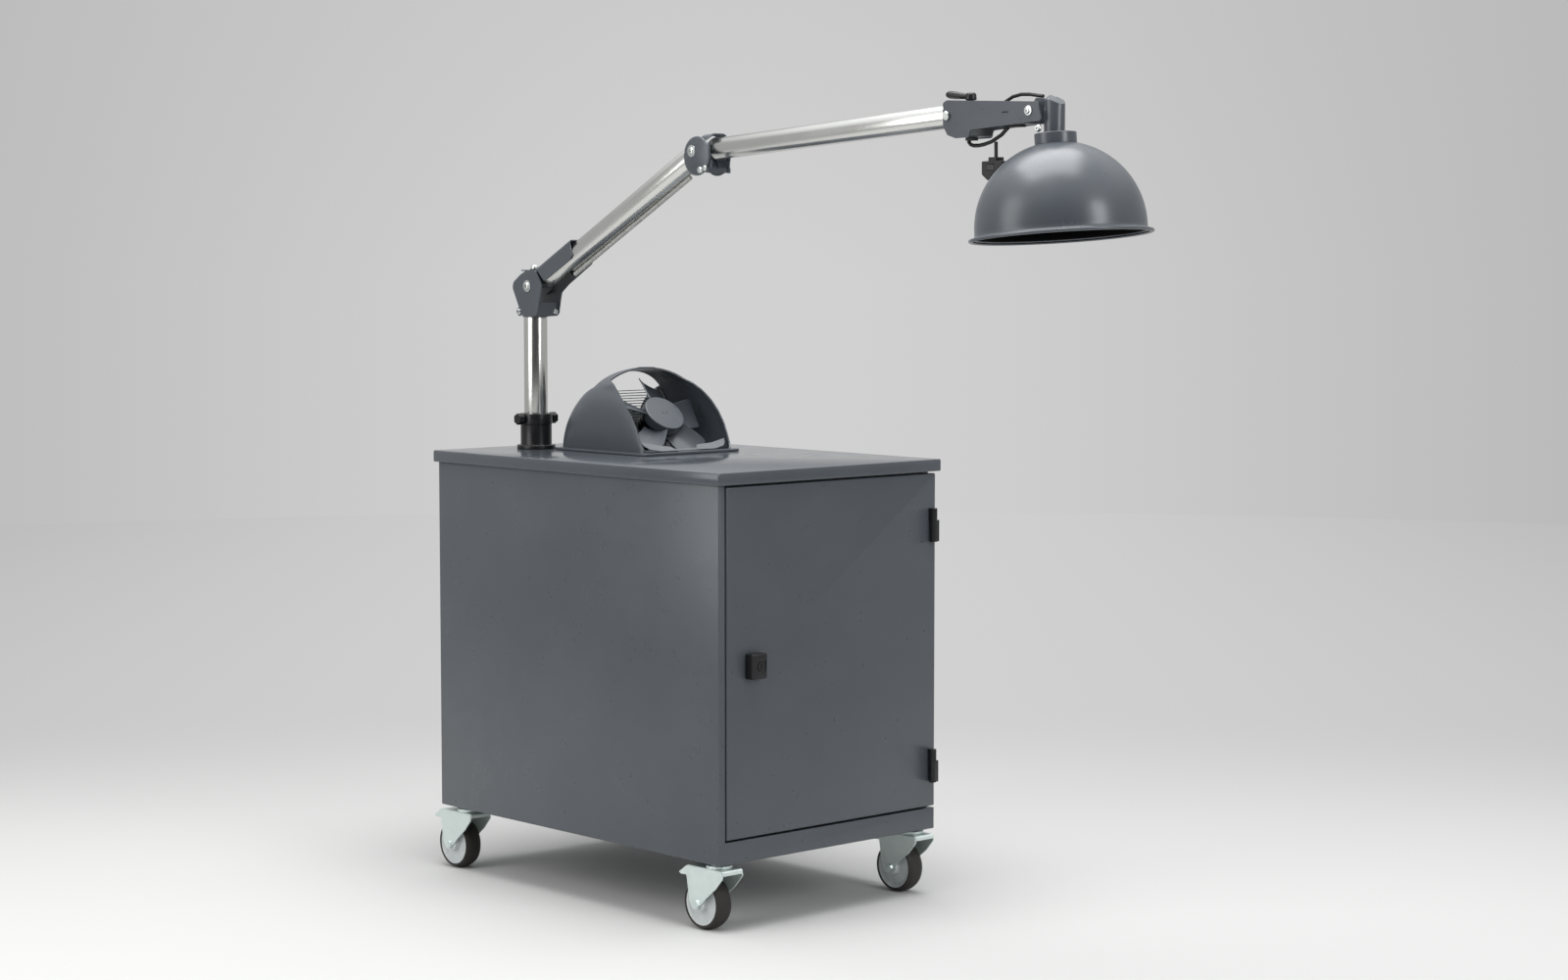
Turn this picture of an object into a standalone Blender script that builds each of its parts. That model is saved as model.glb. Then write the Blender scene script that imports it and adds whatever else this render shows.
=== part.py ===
"""Mobile welding fume extractor: a cabinet on four casters with a fan cowl and a jointed extraction arm.

Metres, +Z up. The door face looks along -Y, and the floor lies at Z = 0 below the middle of the whole part.
Inside the part each piece is placed from the cabinet's front, left, bottom corner.
"""

import math

import bmesh
import bpy
from mathutils import Vector

for leftover in list(bpy.data.objects):
    bpy.data.objects.remove(leftover, do_unlink=True)

# Clearances
gap = 0.0003
running_gap = 0.0006
overrun = 0.010
seam = 0.0005

# Cabinet
cabinet_width = 0.565
cabinet_depth = 0.872
cabinet_height = 0.7305
sheet = 0.002
edge_radius = 0.002
strip_width = 0.015
rail_height = 0.042
recess_depth = 0.0205
seal_flange = 0.030
top_flange = 0.018

# Lid
lid_overhang = 0.008
lid_skirt = 0.024
lid_edge_radius = 0.003

# Door
door_gap = 0.004
door_depth = 0.016
door_lip = 0.025
gasket_width = 0.008
gasket_thickness = 0.0039
gasket_inset = 0.014

# Door hinges
hinge_radius = 0.007
hinge_pin_radius = 0.003
hinge_height = 0.066
hinge_joint_share = 0.64
hinge_inset = 0.0125
hinge_stand = 0.008
hinge_leaf = 0.002
hinge_leaf_reach = 0.050
hinge_lower_height = 0.0945
hinge_upper_height = 0.571
hinge_foot = 0.006

# Turn lock
lock_width = 0.038
lock_height = 0.048
lock_depth = 0.0215
lock_left = 0.064
lock_middle_height = 0.369
lock_edge_radius = 0.003
lock_inset_side = 0.022
lock_inset_depth = 0.0015
lock_rotor_radius = 0.0085
lock_shaft_radius = 0.005
lock_offset = 0.004
cam_length = 0.052
cam_width = 0.016
cam_thickness = 0.003

# Shelf, filter and inlet duct
shelf_height = 0.300
shelf_ledge_side = 0.024
shelf_ledge_rear = 0.028
filter_side_room = 0.0485
filter_rear_room = 0.212
filter_height = 0.200
filter_front = 0.060
filter_wall = 0.012
filter_lip = 0.008
pleat_count = 12
pleat_rise = 0.018
duct_radius = 0.030
duct_wall = 0.0015
duct_drop = 0.480
duct_flange_radius = 0.048

# Fan cowl
cowl_x = 0.311
cowl_rear_inset = 0.304
cowl_base = 0.250
cowl_rise = 0.172
cowl_wall = 0.003
cowl_flange = 0.278
cowl_flange_thickness = 0.005
cowl_lean = math.radians(45)
cowl_bulge_power = 2.5
cowl_corner_power = 8.0
cowl_points = 32
window_bottom = 0.062
window_depth = 0.099
window_lean = math.radians(15)
cowl_hole = 0.226
sill_height = 0.027
sill_sheet = 0.002
sill_half_width = 0.1150

# Fan
fan_slope_place = 0.108
fan_sink = 0.003
hub_radius = 0.044
hub_depth = 0.020
hub_wall = 0.003
hub_rim_radius = 0.0025
blade_count = 5
blade_tip_radius = 0.104
blade_root_chord = 0.052
blade_tip_chord = 0.074
blade_root_pitch = math.radians(34)
blade_tip_pitch = math.radians(23)
blade_camber_share = 0.10
blade_thickness = 0.0022
blade_plane = 0.0205
motor_radius = 0.038
motor_length = 0.034
motor_shaft_radius = 0.004
motor_fin = 0.003
bracket_sheet = 0.003
bracket_width = 0.040
bracket_foot_depth = 0.024
bracket_foot_width = 0.236
bracket_rise_share = 0.42

# Wire guard
guard_wire_radius = 0.0010
guard_upright_radius = 0.0018
guard_wire_count = 10
guard_pitch = 0.0070
guard_stand = 0.024
guard_fit_share = 0.995

# Mast
mast_x = 0.180
mast_rear_inset = 0.094
mast_radius = 0.02415
tube_wall = 0.002
mast_top = 0.2915
collar_flange_radius = 0.0395
collar_flange_height = 0.008
collar_radius = 0.032
collar_height = 0.0515
ring_radius = 0.0335
ring_height = 0.021
collar_shoulder = 0.004
collar_bore_radius = 0.020
knob_radius = 0.012
knob_length = 0.013
knob_stand = 0.0365
knob_screw_radius = 0.004
knob_lobes = 6

# Elbow 1: pivot measured from the lid top on the mast's axis
elbow_1_reach = 0.010
elbow_1_height = 0.3347
lower_arm_length = 0.5845
lower_arm_angle = math.radians(26.67)
yoke_inner = 0.0263
yoke_sheet = 0.0025
yoke_length = 0.0970
yoke_height = 0.0970
yoke_web_height = 0.030
yoke_web_inset = 0.004
yoke_sleeve_height = 0.020
yoke_bridge_length = 0.022
bolt_radius = 0.004
bolt_head_radius = 0.0105
bolt_head_height = 0.005
small_screw_radius = 0.005
small_screw_height = 0.004
dome_nut_radius = 0.0065
dome_nut_height = 0.0045

# Lower tube and its saddle
lower_tube_radius = 0.02415
lower_tube_start = 0.048
lower_tube_stop = 0.032
lower_tube_drop = 0.0045
lower_tube_lift = 0.005
saddle_sheet = 0.0015
saddle_length = 0.176
saddle_top = 0.0265
saddle_corner = 0.006
saddle_pivot_radius = 0.015
saddle_tongue = 0.0035
saddle_tongue_side = 0.0235
saddle_wall_reach = 0.035
saddle_wall_sheet = 0.003
saddle_wall_drop = 0.0095
saddle_washer_radius = 0.009
conduit_radius = 0.0045
conduit_start = 0.120
conduit_stop = 0.055
conduit_end_drop = 0.0335

# Elbow 2
upper_arm_length = 0.6827
upper_arm_angle = math.radians(3.74)
housing_sheet = 0.003
housing_length = 0.086
housing_height = 0.072
housing_sleeve = 0.030
housing_sleeve_wall = 0.0022
crown_radius = 0.031
crown_height = 0.0045
ear_bolt_radius = 0.0065
ear_bolt_height = 0.0045
elbow_2_washer_radius = 0.0115

# Upper tube and its collar
upper_tube_radius = 0.02105
upper_tube_start = 0.040
upper_tube_rise = 0.0015
upper_tube_stop = 0.008
upper_collar_sheet = 0.0025
upper_collar_length = 0.126
upper_collar_height = 0.076
upper_collar_top = 0.0305
upper_collar_corner = 0.014

# Wrist channel
wrist_length = 0.19412
wrist_angle = math.radians(0.83)
channel_inner = 0.0273
channel_sheet = 0.0025
channel_length = 0.2344
channel_height = 0.0605
top_web_start = 0.002
top_web_length = 0.050
belly_web_start = 0.020
belly_web_length = 0.036
front_web_start = 0.140
front_web_length = 0.034
pin_collar_radius = 0.012

# Clamp lever
lever_hub_radius = 0.010
lever_hub_height = 0.013
lever_reach = 0.050
lever_radius = 0.0055
lever_rise = 0.006
lever_place = 0.0300

# Loop handle and switch
loop_radius = 0.0035
stem_radius = 0.00325
stem_place = 0.0896
stem_length = 0.0268
switch_length = 0.0376
switch_height = 0.0241
switch_width = 0.030
switch_neck_length = 0.0188
switch_neck_height = 0.0068
switch_nose = 0.0154
switch_edge_radius = 0.002
rocker_length = 0.016
rocker_width = 0.010
rocker_depth = 0.0035

# Hood knuckle, cable and hood
knuckle_radius = 0.018
knuckle_reach = 0.0329
knuckle_top = 0.0235
swivel_pin_radius = 0.006
swivel_pin_height = 0.014
knuckle_tongue = 0.012
knuckle_cap_radius = 0.005
cable_radius = 0.0032
cable_side = 0.009
hood_reach = 0.0347
hood_drop = 0.0361
hood_lean = math.radians(5)
hood_collar_radius = 0.036
hood_collar_top = -0.0018
hood_collar_edge = 0.002
collar_screw_radius = 0.007
collar_screw_height = 0.006
hood_radius = 0.147
hood_centre_drop = 0.1635
hood_skirt = 0.0165
hood_wall = 0.0015
hood_lip = 0.011
hood_lip_thickness = 0.004

# Casters
caster_height = 0.131
caster_side_inset = 0.030
caster_front_inset = 0.034
caster_rear_inset = 0.056
caster_trail = 0.033
wheel_radius = 0.050
tyre_width = 0.038
rim_radius = 0.042
rim_hub_radius = 0.014
rim_bore_radius = 0.0055
axle_radius = 0.005
fork_inner = 0.0235
fork_sheet = 0.0025
race_radius = 0.025
race_spacer = 0.004
race_stem_radius = 0.006
race_nut_radius = 0.010
race_nut_height = 0.0045
fork_top = 0.0102
axle_head_radius = 0.008
axle_head_height = 0.004

# Facets
tube_steps = 24
bolt_steps = 12
wheel_steps = 16
hood_steps = 32

# Places worked out from the sizes above
lid_top = cabinet_height + gap + sheet
mast_y = cabinet_depth - mast_rear_inset
cowl_y = cabinet_depth - cowl_rear_inset
filter_width = cabinet_width - filter_side_room * 2
filter_depth = cabinet_depth - filter_front - filter_rear_room
shelf_opening_width = filter_width - shelf_ledge_side * 2
shelf_opening_depth = filter_depth - filter_wall - shelf_ledge_rear
door_left = strip_width + door_gap
door_bottom = rail_height + door_gap
door_top = lid_top - lid_skirt - door_gap
cowl_bottom = lid_top + gap
cowl_flange_top = cowl_bottom + cowl_flange_thickness
cowl_front = cowl_y - cowl_base / 2
fork_length = caster_trail * 2.45
fork_nose = fork_length * 1.07 + fork_sheet / 2
back_reach = cabinet_depth - caster_rear_inset + fork_nose
hood_pivot_reach = elbow_1_reach + lower_arm_length * math.cos(lower_arm_angle)
hood_pivot_reach += upper_arm_length * math.cos(upper_arm_angle)
hood_pivot_reach += wrist_length * math.cos(wrist_angle)
hood_rim_drop = hood_centre_drop + hood_skirt - hood_lip_thickness / 2
hood_rim_reach = hood_pivot_reach + hood_reach + hood_rim_drop * math.sin(hood_lean)
front_reach = hood_rim_reach + (hood_radius + hood_lip) * math.cos(hood_lean) - mast_y
middle_y = (back_reach - front_reach) / 2

origin = (0, 0, 0)
side_on = (math.pi / 2, 0, -math.pi / 2)
along_x = (0, math.pi / 2, 0)

parts = bpy.data.collections.new("welding_fume_extractor")
cutters = bpy.data.collections.new("cutters")
bpy.context.scene.collection.children.link(parts)
bpy.context.scene.collection.children.link(cutters)


def add_material(name, colour, roughness, metallic):
    material = bpy.data.materials.new(name)
    material.use_nodes = True
    shader = material.node_tree.nodes["Principled BSDF"]
    shader.inputs["Base Color"].default_value = (*colour, 1)
    shader.inputs["Roughness"].default_value = roughness
    shader.inputs["Metallic"].default_value = metallic
    return material


powder_coat = add_material("powder_coat", (0.075, 0.085, 0.092), 0.42, 0.0)
stainless = add_material("stainless", (0.62, 0.62, 0.60), 0.24, 1.0)
zinc = add_material("zinc", (0.66, 0.70, 0.68), 0.35, 1.0)
black_plastic = add_material("black_plastic", (0.012, 0.012, 0.013), 0.45, 0.0)
black_metal = add_material("black_metal", (0.020, 0.020, 0.021), 0.50, 0.4)
galvanised = add_material("galvanised", (0.50, 0.52, 0.53), 0.45, 1.0)
rubber = add_material("rubber", (0.022, 0.018, 0.016), 0.75, 0.0)
grey_plastic = add_material("grey_plastic", (0.55, 0.57, 0.56), 0.50, 0.0)
filter_paper = add_material("filter_paper", (0.78, 0.76, 0.70), 0.90, 0.0)


def add_empty(name, parent, place, turn=origin):
    empty = bpy.data.objects.new(name, None)
    empty.parent = parent
    empty.location = place
    empty.rotation_euler = turn
    parts.objects.link(empty)
    return empty


def put(piece, parent, material=None, place=origin, turn=origin):
    """Stands a piece in its frame: among the parts if it has a material, else among the cutters."""
    piece.parent = parent
    piece.location = place
    piece.rotation_euler = turn
    if material is None:
        cutters.objects.link(piece)
        piece.hide_render = True
        piece.display_type = "WIRE"
    else:
        parts.objects.link(piece)
        piece.data.materials.append(material)
    return piece


def mesh_piece(name, shape):
    mesh = bpy.data.meshes.new(name)
    shape.to_mesh(mesh)
    shape.free()
    return bpy.data.objects.new(name, mesh)


def box(name, low, high):
    shape = bmesh.new()
    bmesh.ops.create_cube(shape, size=1)
    bmesh.ops.scale(shape, vec=Vector(high) - Vector(low), verts=shape.verts)
    bmesh.ops.translate(shape, vec=(Vector(low) + Vector(high)) / 2, verts=shape.verts)
    return mesh_piece(name, shape)


def rod(name, radius, start, end, sides=20, end_radius=None):
    """A round bar, or a cone if the end's radius differs, between two points."""
    along = Vector(end) - Vector(start)
    shape = bmesh.new()
    bmesh.ops.create_cone(
        shape,
        cap_ends=True,
        segments=sides,
        radius1=radius,
        radius2=radius if end_radius is None else end_radius,
        depth=along.length,
    )
    turn = Vector((0, 0, 1)).rotation_difference(along).to_matrix()
    bmesh.ops.rotate(shape, matrix=turn, verts=shape.verts)
    bmesh.ops.translate(shape, vec=(Vector(start) + Vector(end)) / 2, verts=shape.verts)
    piece = mesh_piece(name, shape)
    piece.data.shade_smooth()
    piece.data.set_sharp_from_angle(angle=math.radians(40))
    return piece


def turned(name, profile, steps=tube_steps, closed=False):
    """A turned piece: the profile runs down its outer side from top to bottom, as (radius, height)."""
    mesh = bpy.data.meshes.new(name)
    corners = [(radius, 0, height) for radius, height in profile]
    edges = [(i, i + 1) for i in range(len(corners) - 1)]
    if closed:
        edges.append((len(corners) - 1, 0))
    mesh.from_pydata(corners, edges, [])
    piece = bpy.data.objects.new(name, mesh)
    screw = piece.modifiers.new("turn", "SCREW")
    screw.axis = "Z"
    screw.angle = 2 * math.pi
    screw.steps = steps
    screw.render_steps = steps
    screw.use_merge_vertices = True
    screw.merge_threshold = 0.0001
    screw.use_smooth_shade = True
    return piece


def tube(name, outer, inner, bottom, top, steps=tube_steps):
    """A pipe along Z."""
    wall = [(inner, top), (outer, top), (outer, bottom), (inner, bottom)]
    return turned(name, wall, steps, closed=True)


def curve_piece(name, points, closed):
    curve = bpy.data.curves.new(name, "CURVE")
    spline = curve.splines.new("POLY")
    spline.points.add(len(points) - 1)
    for point, place in zip(spline.points, points):
        point.co = (*place, 1)
    spline.use_cyclic_u = closed
    return bpy.data.objects.new(name, curve)


def wire(name, points, radius, resolution=2):
    """A round bar along a route."""
    piece = curve_piece(name, points, closed=False)
    piece.data.dimensions = "3D"
    piece.data.bevel_depth = radius
    piece.data.bevel_resolution = resolution
    piece.data.use_fill_caps = True
    return piece


def plate(name, outline, thickness):
    """A flat sheet with the outline given, centred on its own plane."""
    piece = curve_piece(name, [(*corner, 0) for corner in outline], closed=True)
    piece.data.dimensions = "2D"
    piece.data.fill_mode = "BOTH"
    piece.data.extrude = thickness / 2
    return piece


def as_mesh(piece):
    """The mesh form of a curve piece, welded, for booleans."""
    mesh = bpy.data.meshes.new_from_object(piece)
    name = piece.name
    bpy.data.objects.remove(piece, do_unlink=True)
    shape = bmesh.new()
    shape.from_mesh(mesh)
    bmesh.ops.remove_doubles(shape, verts=shape.verts, dist=0.00001)
    bmesh.ops.recalc_face_normals(shape, faces=shape.faces)
    shape.to_mesh(mesh)
    shape.free()
    return bpy.data.objects.new(name, mesh)


def sheet_plate(name, outline, thickness):
    return as_mesh(plate(name, outline, thickness))


def rounded(corners, radius, steps=4):
    """An outline with each corner rounded, less where a side is short."""
    outline = []
    count = len(corners)
    for i, corner in enumerate(corners):
        here = Vector(corner)
        before = Vector(corners[i - 1]) - here
        after = Vector(corners[(i + 1) % count]) - here
        half_turn = before.angle(after) / 2
        most = min(before.length, after.length) * 0.45
        set_back = min(radius / math.tan(half_turn), most)
        fillet = set_back * math.tan(half_turn)
        inward = (before.normalized() + after.normalized()).normalized()
        middle = here + inward * fillet / math.sin(half_turn)
        first = here + before.normalized() * set_back - middle
        last = here + after.normalized() * set_back - middle
        sweep = first.angle_signed(last)
        for step in range(steps + 1):
            turn = -sweep * step / steps
            x = first.x * math.cos(turn) - first.y * math.sin(turn)
            y = first.x * math.sin(turn) + first.y * math.cos(turn)
            outline.append((middle.x + x, middle.y + y))
    return outline


def scaled(shares, length, height):
    return [(length * along, height * up) for along, up in shares]


def arch(half_width, top, corner, foot, steps=4):
    """A channel's outline in cross section, from one foot over the rounded corners to the other."""
    path = [(half_width, foot)]
    for side in (0, 1):
        middle = (half_width - corner) * (1 - side * 2)
        for step in range(steps + 1):
            angle = math.pi / 2 * (side + step / steps)
            path.append((middle + corner * math.cos(angle), top - corner + corner * math.sin(angle)))
    path.append((-half_width, foot))
    return path


def folded(half_width, top, corner, wall, foot, steps=4):
    """The cross section of a folded sheet: two cheeks below a web, open at the bottom."""
    outside = arch(half_width, top, corner, foot, steps)
    inside = arch(half_width - wall, top - wall, corner - wall, foot, steps)
    return outside + inside[::-1]


def boolean(target, operation, others):
    for other in others:
        step = target.modifiers.new(other.name, "BOOLEAN")
        step.operation = operation
        step.solver = "EXACT"
        step.object = other


def join(target, *others):
    boolean(target, "UNION", others)


def cut(target, *others):
    boolean(target, "DIFFERENCE", others)


def bevel(target, width, segments=2):
    edge = target.modifiers.new("soft_edges", "BEVEL")
    edge.width = width
    edge.segments = segments
    edge.limit_method = "ANGLE"


extractor = add_empty("extractor", None, (-cabinet_width / 2, -middle_y, caster_height))


# Cabinet body: folded sheet, open at the front and under the lid
def make_cabinet():
    block = box("cabinet_body", origin, (cabinet_width, cabinet_depth, cabinet_height))
    body = put(block, extractor, powder_coat)
    bevel(body, edge_radius)
    inside = box(
        "cabinet_inside",
        (sheet, recess_depth + sheet, sheet),
        (cabinet_width - sheet, cabinet_depth - sheet, cabinet_height - sheet),
    )
    mouth = box(
        "cabinet_top_mouth",
        (top_flange, recess_depth + top_flange, cabinet_height - overrun),
        (cabinet_width - top_flange, cabinet_depth - top_flange, cabinet_height + overrun),
    )
    recess = box(
        "cabinet_recess",
        (strip_width, -overrun, rail_height),
        (cabinet_width + overrun, recess_depth, cabinet_height + overrun),
    )
    doorway = box(
        "cabinet_doorway",
        (strip_width + seal_flange, 0, rail_height + seal_flange),
        (cabinet_width - seal_flange, recess_depth + overrun, door_top - seal_flange),
    )
    behind_strip = box(
        "cabinet_behind_strip",
        (sheet, sheet, sheet),
        (strip_width - sheet, recess_depth + overrun, cabinet_height - sheet),
    )
    behind_rail = box(
        "cabinet_behind_rail",
        (sheet, sheet, sheet),
        (cabinet_width - sheet, recess_depth + overrun, rail_height - sheet),
    )
    for tool in (inside, mouth, recess, doorway, behind_strip, behind_rail):
        cut(body, put(tool, extractor))


# Lid: a pan over the body's top flange, with the air hole below the mast and the large one below the cowl
def make_lid():
    low = (-lid_overhang, -lid_overhang, lid_top - lid_skirt)
    high = (cabinet_width + lid_overhang, cabinet_depth + lid_overhang, lid_top)
    lid = put(box("lid", low, high), extractor, powder_coat)
    bevel(lid, lid_edge_radius)
    wall = Vector((sheet, sheet, 0))
    under_low = Vector(low) + wall - Vector((0, 0, overrun))
    under = box("lid_under", under_low, Vector(high) - wall - Vector((0, 0, sheet)))
    air_hole = rod(
        "lid_air_hole",
        duct_radius - duct_wall,
        (mast_x, mast_y, lid_top - overrun),
        (mast_x, mast_y, lid_top + overrun),
    )
    half = cowl_hole / 2
    fan_hole = box(
        "lid_fan_hole",
        (cowl_x - half, cowl_y - half, lid_top - overrun),
        (cowl_x + half, cowl_y + half, lid_top + overrun),
    )
    cut(lid, *[put(tool, extractor) for tool in (under, air_hole, fan_hole)])


# Shelf: parts the dirty air below from the filter above
def make_shelf():
    low = (sheet + gap, recess_depth + sheet + gap, shelf_height)
    high = (cabinet_width - sheet - gap, cabinet_depth - sheet - gap, shelf_height + sheet)
    shelf = put(box("filter_shelf", low, high), extractor, galvanised)
    left = (cabinet_width - shelf_opening_width) / 2
    front = filter_front + filter_wall
    opening = box(
        "shelf_opening",
        (left, front, shelf_height - overrun),
        (left + shelf_opening_width, front + shelf_opening_depth, shelf_height + overrun),
    )
    passage = rod(
        "shelf_duct_hole",
        duct_radius + running_gap,
        (mast_x, mast_y, shelf_height - overrun),
        (mast_x, mast_y, shelf_height + overrun),
    )
    cut(shelf, put(opening, extractor), put(passage, extractor))


# Filter cassette: an open frame round a pleated pack
def make_filter():
    left = (cabinet_width - filter_width) / 2
    bottom = shelf_height + sheet + gap
    low = Vector((left, filter_front, bottom))
    high = Vector((left + filter_width, filter_front + filter_depth, bottom + filter_height))
    frame = put(box("filter_frame", low, high), extractor, galvanised)
    lip = Vector((filter_wall + filter_lip, filter_wall + filter_lip, -overrun))
    wall = Vector((filter_wall, filter_wall, filter_lip))
    through = box("filter_through", low + lip, high - lip)
    pack_room = box("filter_pack_room", low + wall, high - wall)
    cut(frame, put(through, extractor), put(pack_room, extractor))

    room = Vector((gap, gap, gap))
    pack_low = low + wall + room
    pack_high = high - wall - room
    pitch = (pack_high.y - pack_low.y) / (2 * pleat_count)
    depth = pack_high.z - pack_low.z
    half = (pack_high.x - pack_low.x) / 2
    shape = bmesh.new()
    rings = []
    for fold in range(2 * pleat_count + 1):
        along = pitch * fold
        up = depth - pleat_rise if fold % 2 else 0
        low_corners = [shape.verts.new((side * half, along, up)) for side in (-1, 1)]
        up += pleat_rise
        rings.append(low_corners + [shape.verts.new((side * half, along, up)) for side in (1, -1)])
    for ring, following in zip(rings, rings[1:]):
        for i in range(4):
            shape.faces.new((ring[i - 1], ring[i], following[i], following[i - 1]))
    shape.faces.new(rings[0])
    shape.faces.new(rings[-1])
    bmesh.ops.recalc_face_normals(shape, faces=shape.faces)
    middle = (pack_low.x + pack_high.x) / 2
    put(mesh_piece("filter_pleats", shape), extractor, filter_paper, (middle, pack_low.y, pack_low.z))


# Inlet duct: takes the dirty air from below the mast to under the shelf
def make_duct():
    top = lid_top - sheet - gap
    wall = [
        (duct_radius - duct_wall, top),
        (duct_flange_radius, top),
        (duct_flange_radius, top - sheet),
        (duct_radius, top - sheet),
        (duct_radius, top - duct_drop),
        (duct_radius - duct_wall, top - duct_drop),
    ]
    put(turned("inlet_duct", wall, 16, closed=True), extractor, galvanised, (mast_x, mast_y, 0))


make_cabinet()
make_lid()
make_shelf()
make_filter()
make_duct()


# Door: a folded pan with a lip behind it, and a seal on the lip; the frame stands on the hinge axis
hinge_x = cabinet_width - hinge_inset
door_hinge = add_empty("door_hinge", extractor, (hinge_x, -hinge_stand, 0))


def make_door():
    low = Vector((door_left - hinge_x, hinge_stand, door_bottom))
    high = Vector((cabinet_width - hinge_x, hinge_stand + door_depth, door_top))
    door = put(box("door_panel", low, high), door_hinge, powder_coat)
    bevel(door, edge_radius)
    skin = Vector((sheet, sheet, sheet))
    hollow = box("door_hollow", low + skin, high - skin)
    lip = Vector((door_lip, sheet, door_lip))
    behind = box("door_behind", low + lip, high - lip + Vector((0, door_depth, 0)))
    lock_x = lock_left + lock_width / 2 + lock_offset - hinge_x
    shaft_hole = rod(
        "door_lock_hole",
        lock_shaft_radius + running_gap,
        (lock_x, 0, lock_middle_height),
        (lock_x, hinge_stand + door_depth, lock_middle_height),
        16,
    )
    cut(door, *[put(tool, door_hinge) for tool in (hollow, behind, shaft_hole)])

    inset = Vector((gasket_inset, door_depth + gap, gasket_inset))
    seal_low = low + inset
    seal_high = Vector((high.x - gasket_inset, seal_low.y + gasket_thickness, high.z - gasket_inset))
    seal = put(box("door_gasket", seal_low, seal_high), door_hinge, rubber)
    width = Vector((gasket_width, -overrun, gasket_width))
    cut(seal, put(box("gasket_middle", seal_low + width, seal_high - width), door_hinge))


# Lift-off hinges: the lower knuckle stays on the cabinet with its pin, the upper one turns with the door
def make_hinge(label, bottom):
    joint = bottom + hinge_height * hinge_joint_share
    top = bottom + hinge_height
    place = (hinge_x, -hinge_stand, 0)
    profile = [
        (0, top + hinge_pin_radius / 2),
        (hinge_pin_radius, top),
        (hinge_pin_radius, joint),
        (hinge_radius, joint),
        (hinge_radius, bottom),
        (0, bottom),
    ]
    fixed = put(turned(label + "_hinge_base", profile, 16), extractor, black_metal, place)
    leaf_x = cabinet_width + gap + hinge_leaf
    wrap = box(
        label + "_hinge_wrap",
        (hinge_x, -hinge_stand - hinge_leaf / 2, bottom),
        (leaf_x, -hinge_stand + hinge_leaf / 2, joint),
    )
    leaf = box(
        label + "_hinge_leaf",
        (cabinet_width + gap, -hinge_stand - hinge_leaf / 2, bottom),
        (leaf_x, hinge_leaf_reach, joint),
    )
    join(fixed, put(wrap, extractor), put(leaf, extractor))

    sleeve = tube(
        label + "_hinge_wing",
        hinge_radius,
        hinge_pin_radius + gap,
        joint + gap,
        top,
        16,
    )
    wing = put(sleeve, door_hinge, black_metal)
    foot = box(
        label + "_hinge_foot",
        (-hinge_radius, 0, joint + gap),
        (-hinge_radius + hinge_foot / 2, hinge_stand - gap, top),
    )
    join(wing, put(foot, door_hinge))


make_door()
make_hinge("upper", hinge_upper_height)
make_hinge("lower", hinge_lower_height)


# Turn lock: a housing on the door, a rotor with its cam that reaches behind the seal flange
lock_x = lock_left + lock_width / 2 - hinge_x
rotor_x = lock_x + lock_offset
lock_turn = add_empty("lock_turn", door_hinge, (rotor_x, hinge_stand, lock_middle_height))


def make_lock():
    back = hinge_stand - gap
    front = hinge_stand - lock_depth
    low = (lock_x - lock_width / 2, front, lock_middle_height - lock_height / 2)
    high = (lock_x + lock_width / 2, back, lock_middle_height + lock_height / 2)
    housing = put(box("lock_housing", low, high), door_hinge, black_plastic)
    bevel(housing, lock_edge_radius, 3)
    half = lock_inset_side / 2
    inset = box(
        "lock_inset",
        (rotor_x - half, front - overrun, lock_middle_height - half),
        (rotor_x + half, front + lock_inset_depth, lock_middle_height + half),
    )
    bore = rod(
        "lock_bore",
        lock_rotor_radius + running_gap,
        (rotor_x, front - overrun, lock_middle_height),
        (rotor_x, back + overrun, lock_middle_height),
    )
    cut(housing, put(inset, door_hinge), put(bore, door_hinge))

    face = -lock_depth + lock_inset_depth / 2
    flange_back = recess_depth + sheet + gap
    rotor = put(rod("lock_rotor", lock_rotor_radius, (0, face, 0), (0, -gap * 2, 0)), lock_turn, black_metal)
    shaft_end = flange_back + cam_thickness
    shaft = rod("lock_shaft", lock_shaft_radius, (0, -lock_depth / 2, 0), (0, shaft_end, 0), 16)
    cam = box(
        "lock_cam",
        (-cam_width / 2, flange_back, -cam_length),
        (cam_width / 2, shaft_end, cam_width / 2),
    )
    slot_depth = lock_inset_depth * 2
    slot = box(
        "lock_key_slot",
        (-slot_depth / 4, face - overrun, -lock_rotor_radius / 2),
        (slot_depth / 4, face + slot_depth, lock_rotor_radius / 2),
    )
    join(rotor, put(shaft, lock_turn), put(cam, lock_turn))
    cut(rotor, put(slot, lock_turn))


make_lock()


# Fan cowl: rounded squares lofted into a dome, cut by the leaning mouth and by the rear window
def cowl_half(height):
    """Half the cowl's width at a height over its foot."""
    share = max(0.0, 1 - (height / cowl_rise) ** cowl_bulge_power)
    return cowl_base / 2 * share ** (1 / cowl_bulge_power)


def cowl_ring(half, count):
    """A square with rounded corners as a superellipse."""
    ring = []
    for step in range(count):
        angle = 2 * math.pi * step / count
        across, along = math.cos(angle), math.sin(angle)
        x = math.copysign(abs(across) ** (2 / cowl_corner_power), across)
        y = math.copysign(abs(along) ** (2 / cowl_corner_power), along)
        ring.append((half * x, half * y))
    return ring


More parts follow.
